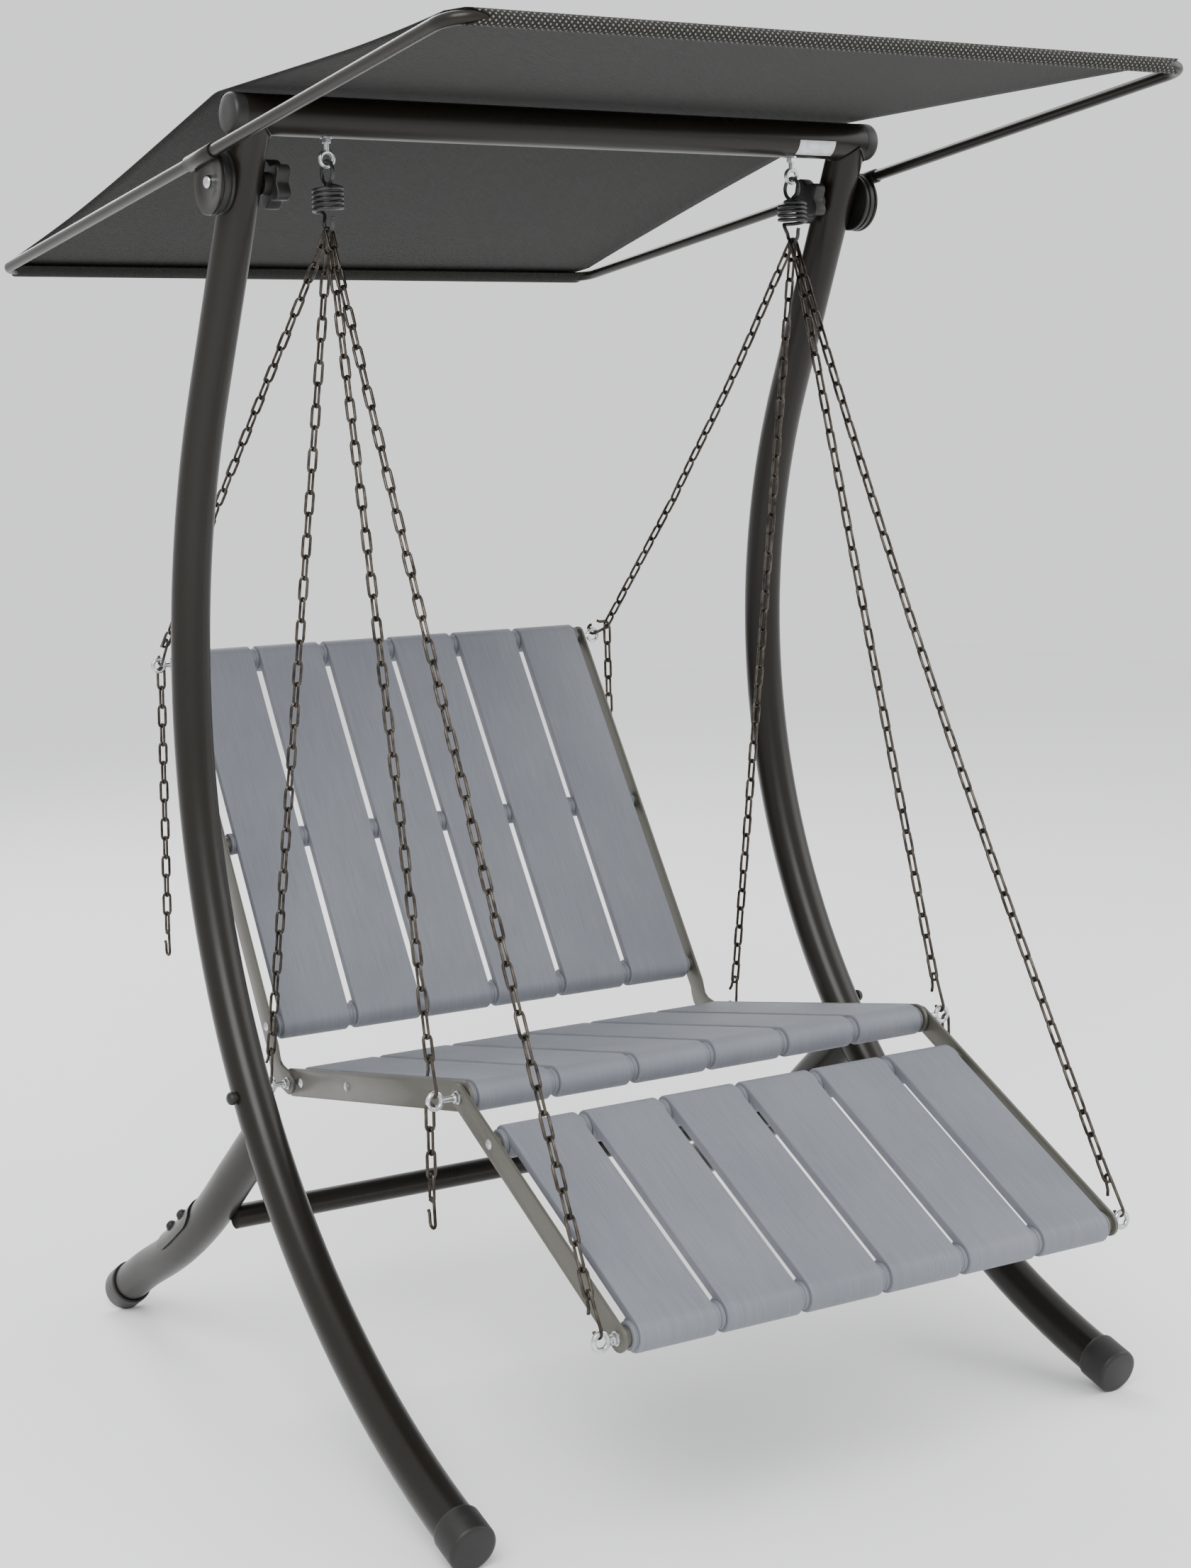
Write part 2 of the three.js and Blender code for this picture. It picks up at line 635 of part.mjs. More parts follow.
function sectionFrame(name, line, high, innerX, tubes, holes, { tubeBore = 0, squareEnd = 0 } = {}) {
  const shape = barShape(line, high, squareEnd);
  const bars = [plateX(shape, innerX, innerX + barThick), plateX(shape, -innerX - barThick, -innerX)];
  const cross = tubes.map((p) => rod([-innerX - 1, p.y, p.z], [innerX + 1, p.y, p.z], crossTubeR, 8));
  const bores = [];
  for (const p of holes) {
    for (const side of [-1, 1]) {
      bores.push(rod([side * (innerX - 30), p.y, p.z], [side * (innerX + 20), p.y, p.z], boltR + 0.4, 8));
    }
  }
  if (tubeBore) {
    for (const p of tubes) {
      bores.push(rod([-innerX, p.y, p.z], [innerX, p.y, p.z], tubeBore, 8));
      bores.push(rod([-innerX - 20, p.y, p.z], [innerX + 20, p.y, p.z], boltR + 0.4, 8));
    }
  }
  addPart(name, fromSolid(cut(joined([...bars, ...cross]), bores)), "bar");
}

// One slat's side outline: flat plate with a round roll at each end and a boss for a middle tube.
function slatShape(length, middle) {
  const shape = new THREE.Shape();
  const under = rollR - slatThick;
  const open = Math.asin(under / rollR);
  const points = [];
  for (let i = 0; i <= 6; i++) {
    const a = Math.PI / 2 + i * (Math.PI * 1.5 + open) / 6;
    points.push([rollR * Math.cos(a), rollR * Math.sin(a)]);
  }
  if (middle) {
    const bossR = crossTubeR + 4.5;
    const side = Math.asin(under / bossR);
    for (let i = 0; i <= 3; i++) {
      const a = Math.PI - side + i * (Math.PI + 2 * side) / 3;
      points.push([middle + bossR * Math.cos(a), bossR * Math.sin(a)]);
    }
  }
  for (let i = 0; i <= 6; i++) {
    const a = Math.PI - open + i * (Math.PI * 1.5 + open) / 6;
    points.push([length + rollR * Math.cos(a), rollR * Math.sin(a)]);
  }
  points.forEach(([x, y], i) => (i ? shape.lineTo(x, y) : shape.moveTo(x, y)));
  shape.closePath();
  return shape;
}

// Six slats on their cross tubes, kept apart by collars.
function addSlats(name, tubes) {
  const [start, end] = [tubes[0], tubes[tubes.length - 1]];
  const length = span(start, end);
  const middle = tubes.length > 2 ? span(start, tubes[1]) : 0;
  const solids = [];
  const half = (slatCount - 1) / 2;
  for (let i = 0; i < slatCount; i++) {
    const x = (i - half) * slatPitch;
    solids.push(plateX(slatShape(length, middle), x - slatWidth / 2, x + slatWidth / 2));
  }
  const at = tubes.map((p) => span(start, p));
  for (let i = 0; i <= slatCount; i++) {
    const x = (i - half - 0.5) * slatPitch;
    const outside = i === 0 || i === slatCount;
    const width = outside ? 7 : slatPitch - slatWidth;
    const at0 = outside ? x + Math.sign(-x) * (slatPitch - slatWidth - width) / 2 : x;
    const reach = width / 2 + 0.5;
    for (const s of at) solids.push(rod([at0 - reach, s, 0], [at0 + reach, s, 0], collarR, 8));
  }
  const bores = at.map((s) => rod([-500, s, 0], [500, s, 0], crossTubeR + gap + 1.2, 8));
  const geometry = fromSolid(cut(joined(solids), bores));
  geometry.rotateX(Math.atan2(end.z - start.z, end.y - start.y));
  geometry.translate(0, start.y, start.z);
  addPart(name, geometry, "slat");
}

function sideEye(ringX, barX, place, depth) {
  const ring = aim(eyeRing(), [ringX, place.y, place.z], [0, 1, 0]);
  const shank = rod([ringX - eyeRingR, place.y, place.z], [depth, place.y, place.z], boltR, 8);
  const nut = hexNut([barX + barThick + gap + 3.5, place.y, place.z], [1, 0, 0], 13, 6.5);
  return joined([ring, shank, nut]);
}

const seatTubes = [along(seatFront, seatRear, 0), along(seatRear, seatFront, seatMidTubeAt),
  along(seatRear, seatFront, seatRearTubeAt)];
const onRake = (distance) => along(backBend, backTop, distance);
const backTubes = [onRake(backBottomTubeAt), onRake(backMidTubeAt), backTop];
const footTubes = [footFront, along(seatFront, footFront, footRearTubeAt)];

function addSections() {
  sectionFrame("seat_frame", [seatFront, seatRear], seatBarHigh, seatBarX, seatTubes, [seatFront, seatRear],
    { squareEnd: seatBarEnd });
  const backLine = [backTop, backBend, backKnee, seatRear];
  sectionFrame("backrest_frame", backLine, sideBarHigh, outerBarX, backTubes, [seatRear],
    { tubeBore: backTubeBore });
  sectionFrame("footrest_frame", [seatFront, footFront], sideBarHigh, outerBarX, footTubes,
    [seatFront, footFront]);
  addSlats("seat_slats", seatTubes);
  addSlats("backrest_slats", backTubes);
  addSlats("footrest_slats", footTubes);
}

function addEyes() {
  const hinge = seatBarX - 24;
  const end = outerBarX - 24;
  addPair("rear_hinge_eye", sideEye(rearEyeX, outerBarX, seatRear, hinge), "zinc");
  addPair("front_hinge_eye", sideEye(seatEyeX, outerBarX, seatFront, hinge), "zinc");
  addPair("back_eye", sideEye(backEyeX, outerBarX, backTop, end), "zinc");
  addPair("footrest_eye", sideEye(footEyeX, outerBarX, footFront, end), "zinc");
}

// ---- chains ----
const hook = { y: 0, z: hookZ };

function chainPoint(x0, x1, end, s) {
  const length = span(hook, end);
  const p = along(hook, end, s);
  return [x0 + (x1 - x0) * s / length, p.y, p.z];
}

function addChains() {
  const run = (name, x0, x1, end, from, to) => {
    const solid = toSolid(rod(chainPoint(x0, x1, end, from), chainPoint(x0, x1, end, to), chainR, 8));
    addPair(name, solid, "chain");
  };
  run("seat_rear_chain", eyeX, rearEyeX, seatRear, chainStart, span(hook, seatRear) - chainEnd);
  run("seat_front_chain", eyeX, seatEyeX, seatFront, chainStart, span(hook, seatFront) - chainEnd);
  run("footrest_chain", eyeX, footChainX, footFront, chainStart, span(hook, footFront) - 8);
  const backLength = span(hook, backTop);
  const upperEnd = backLength - chainEnd - 7;
  run("back_chain_upper", backChainX, backChainX, backTop, chainStart, upperEnd);
  const onBack = (s) => chainPoint(backChainX, backChainX, backTop, s);
  const sleeveFrom = upperEnd - backSlide - 40;
  const wide = rod(onBack(sleeveFrom), onBack(backLength - chainEnd), backSleeveR, 10);
  const bore = rod(onBack(sleeveFrom - 5), onBack(backLength), chainR + 0.9, 8);
  addPair("back_chain_lower", cut(toSolid(wide), [bore]), "chain");
  const tail = (name, x, p, length) => {
    addPair(name, toSolid(rod([x, p.y, p.z - 18], [x, p.y, p.z - length], chainR, 8)), "chain");
  };
  tail("back_tail", backEyeX, backTop, backTailLength);
  tail("seat_tail", seatTailX, seatFront, seatTailLength);
}

addCrossbar();
addCrossbarCaps();
addBows();
addFootCaps();
addRearLegs();
addLowerBar();
addBowBolts();
addTopEyes();
addPlate();
addTiltClamps();
addCanopyRods();
addFabric();
addSprings();
addSections();
addEyes();
addChains();

export default model;
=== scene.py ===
import bpy
import bmesh
from math import pi, sin, cos, tan, atan2, acos, asin, hypot, radians
from mathutils import Vector, Matrix


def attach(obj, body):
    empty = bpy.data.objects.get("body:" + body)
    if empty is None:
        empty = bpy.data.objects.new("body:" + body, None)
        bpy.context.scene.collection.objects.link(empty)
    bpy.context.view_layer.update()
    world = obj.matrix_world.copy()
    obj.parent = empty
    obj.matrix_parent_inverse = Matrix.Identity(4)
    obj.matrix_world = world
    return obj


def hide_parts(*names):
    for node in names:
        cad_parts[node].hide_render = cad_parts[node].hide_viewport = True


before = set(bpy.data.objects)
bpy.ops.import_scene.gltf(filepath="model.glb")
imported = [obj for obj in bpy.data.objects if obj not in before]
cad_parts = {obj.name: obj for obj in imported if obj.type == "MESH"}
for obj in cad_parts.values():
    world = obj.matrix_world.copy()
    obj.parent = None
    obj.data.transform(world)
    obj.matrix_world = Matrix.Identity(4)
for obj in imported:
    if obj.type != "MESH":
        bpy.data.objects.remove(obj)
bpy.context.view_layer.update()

# Places are given in millimetres from the crossbar's axis in Y, as the drawings of the swing give them.
barY = -107.5
mm = 0.001


def at(x, y, z):
    return Vector((x, y + barY, z)) * mm


# camera, light and floor
viewpoint = {
    "place": (-2052.6, -3108.8, 1392.0),
    "yaw": 0.489647,
    "pitch": -0.00475,
    "roll": -0.026176,
    "lens": 73.1764,
    "shift": (0.2056, -0.2906),
}


def addCamera():
    settings = viewpoint
    yaw, pitch, roll = settings["yaw"], settings["pitch"], settings["roll"]
    ahead = Vector((sin(yaw) * cos(pitch), cos(yaw) * cos(pitch), -sin(pitch)))
    right = Vector((cos(yaw), -sin(yaw), 0))
    up = right.cross(ahead)
    sideways = right * cos(roll) + up * sin(roll)
    upwards = up * cos(roll) - right * sin(roll)
    data = bpy.data.cameras.new("mainView")
    data.sensor_fit = "HORIZONTAL"
    data.sensor_width = 36
    data.lens = settings["lens"]
    data.shift_x, data.shift_y = settings["shift"]
    data.clip_end = 60
    camera = bpy.data.objects.new("mainView", data)
    turn = Matrix((sideways, upwards, -ahead)).transposed().to_4x4()
    camera.matrix_world = Matrix.Translation(at(*settings["place"])) @ turn
    bpy.context.scene.collection.objects.link(camera)
    bpy.context.scene.camera = camera


studio = {
    "floor": (0.95, 0.95, 0.95),
    "world": (0.98, 0.99, 1.0),
    "worldStrength": 1.2,
    "lamps": [
        {"name": "keyLight", "place": (-3.2, -3.6, 4.6), "size": 3.2, "power": 330},
        {"name": "fillLight", "place": (4.2, -2.4, 3.0), "size": 3.5, "power": 120},
        {"name": "backLight", "place": (0.5, 4.4, 4.2), "size": 3.0, "power": 150},
    ],
}


# shader helper
class Value:
    # A socket that can be used in sums.

    def __init__(self, maker, socket):
        self.maker = maker
        self.socket = socket

    def combine(self, operation, first, second):
        return self.maker.node("ShaderNodeMath", {"operation": operation}, {0: first, 1: second})

    def __add__(self, other):
        return self.combine("ADD", self, other)

    __radd__ = __add__

    def __sub__(self, other):
        return self.combine("SUBTRACT", self, other)

    def __rsub__(self, other):
        return self.combine("SUBTRACT", other, self)

    def __mul__(self, other):
        return self.combine("MULTIPLY", self, other)

    __rmul__ = __mul__

    def __truediv__(self, other):
        return self.combine("DIVIDE", self, other)

    def __gt__(self, other):
        return self.combine("GREATER_THAN", self, other)

    def __lt__(self, other):
        return self.combine("LESS_THAN", self, other)


class Finish:
    # A material under construction.

    def __init__(self, name):
        self.material = bpy.data.materials.new(name)
        self.material.use_nodes = True
        self.tree = self.material.node_tree
        self.shader = self.tree.nodes["Principled BSDF"]

    def node(self, kind, settings=None, inputs=None, output=0):
        made = self.tree.nodes.new(kind)
        for key, value in (settings or {}).items():
            if key == "stops":
                while len(made.color_ramp.elements) < len(value):
                    made.color_ramp.elements.new(0.5)
                for element, (position, colour) in zip(made.color_ramp.elements, value):
                    element.position = position
                    element.color = (*colour, 1)
            else:
                setattr(made, key, value)
        for key, value in (inputs or {}).items():
            self.feed(made.inputs[key], value)
        return Value(self, made.outputs[output])

    def feed(self, socket, value):
        if isinstance(value, Value):
            self.tree.links.new(value.socket, socket)
        elif isinstance(value, (tuple, list)) and socket.type == "RGBA":
            socket.default_value = (*value[:3], 1)
        else:
            socket.default_value = value

    def set(self, **values):
        for key, value in values.items():
            self.feed(self.shader.inputs[key.replace("_", " ")], value)

    def coords(self, output="Object"):
        return Value(self, self.tree.nodes.new("ShaderNodeTexCoord").outputs[output])

    def axis(self, vector, index):
        return self.node("ShaderNodeSeparateXYZ", None, {0: vector}, index)

    def noise(self, vector, scale, detail=2.0, roughness=0.5, squeeze=(1, 1, 1)):
        place = self.node("ShaderNodeMapping", None, {"Vector": vector, "Scale": squeeze})
        wanted = {"Vector": place, "Scale": scale, "Detail": detail, "Roughness": roughness}
        return self.node("ShaderNodeTexNoise", None, wanted)

    def math(self, operation, *values):
        return self.node("ShaderNodeMath", {"operation": operation}, dict(enumerate(values)))

    def mix(self, factor, first, second):
        wanted = {"Factor": factor, 6: first, 7: second}
        return self.node("ShaderNodeMix", {"data_type": "RGBA"}, wanted, 2)

    def span(self, value, low, high, toLow=0.0, toHigh=1.0):
        return self.node("ShaderNodeMapRange", None, {0: value, 1: low, 2: high, 3: toLow, 4: toHigh})

    def bump(self, height, strength, distance):
        wanted = {"Height": height, "Strength": strength, "Distance": distance}
        self.set(Normal=self.node("ShaderNodeBump", None, wanted))


finishes = {
    "frame": {"colour": (0.0088, 0.0074, 0.0054), "fleck": (0.017, 0.015, 0.012)},
    "plastic": {"colour": (0.010, 0.0095, 0.009), "worn": (0.019, 0.018, 0.017)},
    # the near-black cloth colour is painted shade, for the holes of the weave and the groove of the seam
    "cloth": {"thread": (0.0098, 0.0094, 0.0080), "slub": (0.0155, 0.0150, 0.0130),
              "gap": (0.001, 0.001, 0.001), "pitch": 0.0056,
              "dot": (0.16, 0.155, 0.14), "dotPitch": 0.0085, "hem": 0.068, "rearSeam": 1.625},
    "slat": {"colour": (0.122, 0.131, 0.152), "worn": (0.156, 0.165, 0.186), "pitch": 0.131},
    "bar": {"colour": (0.075, 0.071, 0.058), "fleck": (0.11, 0.105, 0.09)},
    "zinc": {"colour": (0.62, 0.63, 0.64), "dull": (0.40, 0.41, 0.42)},
    "chain": {"colour": (0.085, 0.073, 0.060), "dark": (0.028, 0.024, 0.021)},
    "spring": {"colour": (0.012, 0.012, 0.013), "worn": (0.05, 0.05, 0.05)},
    "plate": {"colour": (0.52, 0.53, 0.54), "dull": (0.40, 0.41, 0.42)},
}


def makeFrameFinish():
    kind = finishes["frame"]
    f = Finish("anthracitePowderCoat")
    place = f.coords()
    grain = f.noise(place, 2600, 1.0)
    cloud = f.noise(place, 9, 3.0)
    f.set(Base_Color=f.mix(f.span(grain, 0.52, 0.72), kind["colour"], kind["fleck"]))
    f.set(Roughness=f.span(cloud, 0.3, 0.7, 0.26, 0.34), Specular_IOR_Level=0.24)
    f.bump(grain, 0.12, 0.0002)
    return f.material


def makePlasticFinish():
    kind = finishes["plastic"]
    f = Finish("blackMouldedPlastic")
    place = f.coords()
    cloud = f.noise(place, 22, 4.0)
    grain = f.noise(place, 1500, 2.0)
    f.set(Base_Color=f.mix(f.span(cloud, 0.4, 0.75), kind["colour"], kind["worn"]))
    f.set(Roughness=f.span(cloud, 0.3, 0.7, 0.40, 0.54), Specular_IOR_Level=0.35)
    f.bump(grain, 0.15, 0.0003)
    return f.material


def makeSlatFinish():
    kind = finishes["slat"]
    f = Finish("slatPlastic")
    place = f.coords()
    x = f.axis(place, 0)
    # distance from the middle of its own slat
    local = f.math("PINGPONG", x / kind["pitch"], 0.5) * kind["pitch"]
    brushed = f.noise(place, 60, 3.0, 0.6, (9, 0.25, 0.25))
    fine = f.noise(place, 240, 2.0, 0.5, (8, 0.5, 0.5))
    cloud = f.noise(place, 7, 3.0)
    tone = f.span(brushed * 0.6 + cloud * 0.4, 0.36, 0.66)
    f.set(Base_Color=f.mix(tone, kind["colour"], kind["worn"]))
    f.set(Roughness=f.span(fine, 0.3, 0.7, 0.50, 0.64))
    ribs = f.math("ABSOLUTE", f.math("SINE", x * (pi / 0.0055)))
    groove = f.math("ABSOLUTE", local - 0.0125) < 0.0009
    f.bump(ribs * 0.35 + fine * 0.5 - groove * 1.2, 0.35, 0.0005)
    return f.material


def makeBarFinish():
    kind = finishes["bar"]
    f = Finish("taupePaint")
    place = f.coords()
    grain = f.noise(place, 2200, 1.0)
    cloud = f.noise(place, 12, 3.0)
    f.set(Base_Color=f.mix(f.span(grain, 0.5, 0.75), kind["colour"], kind["fleck"]))
    f.set(Metallic=0.3, Roughness=f.span(cloud, 0.3, 0.7, 0.38, 0.5), Coat_Weight=0.1)
    f.bump(grain, 0.12, 0.0002)
    return f.material


def makeMetalFinish(name, kind, low, high, metallic=1.0):
    f = Finish(name)
    place = f.coords()
    cloud = f.noise(place, 60, 4.0)
    fine = f.noise(place, 900, 2.0)
    other = kind.get("dull") or kind.get("dark") or kind.get("worn")
    f.set(Base_Color=f.mix(f.span(cloud, 0.38, 0.68), kind["colour"], other))
    f.set(Metallic=metallic, Roughness=f.span(cloud, 0.3, 0.7, low, high))
    f.bump(fine, 0.2, 0.0002)
    return f.material


def makeClothFinish():
    kind = finishes["cloth"]
    f = Finish("canopyMesh")
    place = f.coords("UV")
    u = f.axis(place, 0)
    v = f.axis(place, 1)
    pitch = kind["pitch"]
    across = f.math("SINE", u * (2 * pi / pitch))
    along = f.math("SINE", v * (2 * pi / pitch))
    weave = across * along
    # mask of the weave holes, which get the painted shade colour
    holeShade = f.span(weave, 0.30, 0.75)
    slub = f.noise(place, 160, 3.0, 0.6, (1, 0.12, 1))
    cloud = f.noise(place, 3, 3.0)
    body = f.mix(f.span(slub * 0.7 + cloud * 0.3, 0.3, 0.7), kind["thread"], kind["slub"])
    # coarse light dots round the front hem and a sewn line beside the rear one, its groove painted dark as
    # shade
    coarse = kind["dotPitch"]
    dots = f.math("SINE", u * (2 * pi / coarse)) * f.math("SINE", v * (2 * pi / coarse))
    inHem = v < kind["hem"]
    seamGroove = f.math("ABSOLUTE", v - kind["rearSeam"]) < 0.0016
    woven = f.mix(holeShade, body, kind["gap"])
    woven = f.mix(f.span(dots, 0.45, 0.62) * inHem, woven, kind["dot"])
    f.set(Base_Color=f.mix(seamGroove, woven, kind["gap"]))
    f.set(Roughness=0.92, Sheen_Weight=0.06, Sheen_Roughness=0.5, Specular_IOR_Level=0.25)
    f.bump(weave * -1 + slub * 0.5 - seamGroove * 1.5, 0.6, 0.0008)
    return f.material


def makeFloorFinish():
    f = Finish("paleFloor")
    f.set(Base_Color=studio["floor"], Roughness=0.8)
    return f.material


frameFinish = makeFrameFinish()
plasticFinish = makePlasticFinish()
slatFinish = makeSlatFinish()
barFinish = makeBarFinish()
clothFinish = makeClothFinish()
zincFinish = makeMetalFinish("brightZinc", finishes["zinc"], 0.22, 0.38)
chainFinish = makeMetalFinish("darkChainSteel", finishes["chain"], 0.32, 0.5)
springFinish = makeMetalFinish("blackSpringWire", finishes["spring"], 0.35, 0.5, 0.3)
plateFinish = makeMetalFinish("matSilver", finishes["plate"], 0.3, 0.42)
print("finishes made")


# mesh helpers
def addPiece(name, bm, body, finish, nodes=(), smooth=40, clean=True):
    # Turns a bmesh into a piece that rides on a body and stands for CAD nodes.
    if clean:
        bmesh.ops.remove_doubles(bm, verts=bm.verts, dist=2e-6)
        bmesh.ops.recalc_face_normals(bm, faces=bm.faces)
    mesh = bpy.data.meshes.new(name)
    bm.to_mesh(mesh)
    bm.free()
    mesh.materials.append(finish)
    piece = bpy.data.objects.new(name, mesh)
    bpy.context.scene.collection.objects.link(piece)
    mesh.shade_smooth()
    if smooth:
        mesh.set_sharp_from_angle(angle=radians(smooth))
    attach(piece, body)
    if nodes:
        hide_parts(*nodes)
    return piece


def vertsOf(result, key="geom"):
    return [item for item in result[key] if isinstance(item, bmesh.types.BMVert)]


def edgesOf(result, key="geom"):
    return [item for item in result[key] if isinstance(item, bmesh.types.BMEdge)]


def framesAlong(points):
    # One matrix at each point of a path, turned as little as possible from one to the next.
    frames = []
    normal = None
    for i, point in enumerate(points):
        before = points[max(i - 1, 0)]
        after = points[min(i + 1, len(points) - 1)]
        ahead = ((point - before).normalized() + (after - point).normalized()).normalized()
        if normal is None:
            normal = Vector((1, 0, 0)) if abs(ahead.x) < 0.9 else Vector((0, 0, 1))
        normal = (normal - ahead * normal.dot(ahead)).normalized()
        side = ahead.cross(normal)
        turn = Matrix((normal, side, ahead)).transposed().to_4x4()
        frames.append(Matrix.Translation(point) @ turn)
    return frames


def sweep(bm, points, radius, sides=24, ends=True):
    # A round bar along a path: a circle, extruded from frame to frame.
    frames = framesAlong(points)
    first = bmesh.ops.create_circle(bm, cap_ends=False, segments=sides, radius=radius)["verts"]
    bmesh.ops.transform(bm, matrix=frames[0], verts=first)
    ring = list({edge for vert in first for edge in vert.link_edges})
    if ends:
        bmesh.ops.contextual_create(bm, geom=ring)
    for last, here in zip(frames, frames[1:]):
        grown = bmesh.ops.extrude_edge_only(bm, edges=ring)
        verts = vertsOf(grown)
        bmesh.ops.transform(bm, matrix=here @ last.inverted(), verts=verts)
        chosen = set(verts)
        ring = [edge for edge in edgesOf(grown) if edge.verts[0] in chosen and edge.verts[1] in chosen]
    if ends:
        bmesh.ops.contextual_create(bm, geom=ring)
    return bm


def turned(bm, profile, matrix, steps=32):
    # A solid of revolution: a profile of (radius, height) spun about +Z, then moved into place.
    verts = [bm.verts.new((r * mm, 0, h * mm)) for r, h in profile]
    edges = [bm.edges.new(pair) for pair in zip(verts, verts[1:])]
    spun = bmesh.ops.spin(bm, geom=verts + edges, cent=(0, 0, 0), axis=(0, 0, 1), dvec=(0, 0, 0),
                          angle=2 * pi, steps=steps, use_merge=True, use_duplicate=False)
    everything = set(verts) | set(vertsOf(spun, "geom_last"))
    # all that the spin made hangs together with the profile
    found = list(everything)
    while found:
        vert = found.pop()
        for edge in vert.link_edges:
            other = edge.other_vert(vert)
            if other not in everything:
                everything.add(other)
                found.append(other)
    bmesh.ops.remove_doubles(bm, verts=list(everything), dist=1e-6)
    alive = [vert for vert in everything if vert.is_valid]
    bmesh.ops.transform(bm, matrix=matrix, verts=alive)
    return bm


def aimed(place, direction):
    turn = Vector((0, 0, 1)).rotation_difference(Vector(direction))
    return Matrix.Translation(place) @ turn.to_matrix().to_4x4()


class Outline:
    # A flat outline in the Y-Z plane, drawn with lines and arcs, then given a thickness along X.

    def __init__(self, bm, x, start):
        self.bm = bm
        self.x = x
        self.first = bm.verts.new((x * mm, start[0] * mm, start[1] * mm))
        self.last = self.first
        self.made = [self.first]

    def line(self, y, z):
        grown = bmesh.ops.extrude_vert_indiv(self.bm, verts=[self.last])
        self.last = grown["verts"][0]
        self.last.co = Vector((self.x, y, z)) * mm
        self.made.append(self.last)
        return self

    def arc(self, y, z, angle, steps):
        spun = bmesh.ops.spin(self.bm, geom=[self.last], cent=Vector((self.x, y, z)) * mm, axis=(1, 0, 0),
                              dvec=(0, 0, 0), angle=angle, steps=steps, use_merge=False)
        end = vertsOf(spun, "geom_last")[0]
        walk, here = [], end
        while here is not self.last:
            walk.append(here)
            here = [e.other_vert(here) for e in here.link_edges if e.other_vert(here) not in walk][0]
        self.made.extend(reversed(walk))
        self.last = end
        return self

    def thicken(self, depth, edge=0.0, segments=2):
        # Closes the outline, fills it, extrudes it by depth and rounds its two rims.
        bm = self.bm
        if (self.first.co - self.last.co).length > 1e-6:
            bmesh.ops.contextual_create(bm, geom=[self.last, self.first])
        else:
            bmesh.ops.weld_verts(bm, targetmap={self.last: self.first})
            self.made.pop()
        loop = set(self.made)
        edges = [e for v in loop for e in v.link_edges if e.other_vert(v) in loop]
        face = bmesh.ops.contextual_create(bm, geom=list(set(edges)))["faces"]
        grown = bmesh.ops.extrude_face_region(bm, geom=face)
        verts = vertsOf(grown)
        bmesh.ops.translate(bm, vec=(depth * mm, 0, 0), verts=verts)
        if edge:
            rims = []
            for ring in (loop, set(verts)):
                rims += [e for v in ring for e in v.link_edges if e.other_vert(v) in ring]
            bmesh.ops.bevel(bm, geom=list(set(rims)), offset=edge * mm, offset_type="OFFSET",
                            segments=segments, profile=0.5, affect="EDGES", material=-1,
                            clamp_overlap=True)
        return self


def mirrored(bm):
    # The same shape on the other side of the swing.
    other = bm.copy()
    bmesh.ops.scale(other, vec=(-1, 1, 1), verts=other.verts)
    bmesh.ops.reverse_faces(other, faces=other.faces)
    return other


def addPair(name, bm, body, finish, nodes=(), smooth=40):
    # A piece for the +X side and its mirror image. The nodes' names get _r and _l.
    left = mirrored(bm)
    for end, shape in (("_r", bm), ("_l", left)):
        where = body + end if body in ("knob", "back_tail", "seat_tail") else body
        addPiece(name + end, shape, where, finish, [node + end for node in nodes], smooth)


# lines of the frame
bowLine = {"x": 542, "apexY": 262, "apexZ": 1045, "upperR": 1085, "lowerR": 1049, "seamZ": 1715,
           "footZ": 31.4, "barZ": 1874, "tubeR": 30, "pivotZ": 1780}
bowX, barZ, tubeR, seamZ = (bowLine[key] for key in ("x", "barZ", "tubeR", "seamZ"))
upperY = bowLine["apexY"] - bowLine["upperR"]
lowerY = bowLine["apexY"] - bowLine["lowerR"]
barRise = barZ - bowLine["apexZ"]
topAngle = atan2(barRise, -upperY) - acos(bowLine["upperR"] / hypot(upperY, barRise))
footAngle = -asin((bowLine["apexZ"] - bowLine["footZ"]) / bowLine["lowerR"])
pivot = ((barZ - bowLine["pivotZ"]) * tan(topAngle), bowLine["pivotZ"])


def bowAt(angle):
    r = bowLine["lowerR"] if angle < 0 else bowLine["upperR"]
    y = lowerY if angle < 0 else upperY
    return y + r * cos(angle), bowLine["apexZ"] + r * sin(angle)


def straightY(z):
    return (barZ - z) * tan(topAngle)


legLine = [(62, 396), (134, 334), (230, 251), (317, 187), (395, 139), (495, 86), (590, 28.6)]


def smoothLine(points, parts=6):
    # Catmull-Rom curve through points.
    out = []
    padded = [points[0]] + list(points) + [points[-1]]
    for a, b, c, d in zip(padded, padded[1:], padded[2:], padded[3:]):
        for i in range(parts):
            t = i / parts
            out.append(tuple(0.5 * (2 * q + (r - p) * t + (2 * p - 5 * q + 4 * r - s) * t * t
                                    + (3 * q - p - 3 * r + s) * t ** 3) for p, q, r, s in zip(a, b, c, d)))
    out.append(tuple(points[-1]))
    return out


def addBows():
    bm = bmesh.new()
    lower = [bowAt(footAngle * (1 - i / 44)) for i in range(45)]
    upper = [bowAt(topAngle * i / 16) for i in range(1, 17)]
    line = [at(bowX, y, z) for y, z in lower + upper + [(straightY(seamZ + 0.6), seamZ + 0.6)]]
    sweep(bm, line, tubeR * mm, 40)
    addPair("bowTube", bm, "frame", frameFinish, ["bow"])
    # thin dark ring in the joint between the bow and the crossbar's stub
    bm = bmesh.new()
    sweep(bm, [at(bowX, straightY(z), z) for z in (seamZ - 2.5, seamZ + 2.5)], 29.2 * mm, 40)
    addPair("seamRing", bm, "frame", plasticFinish)


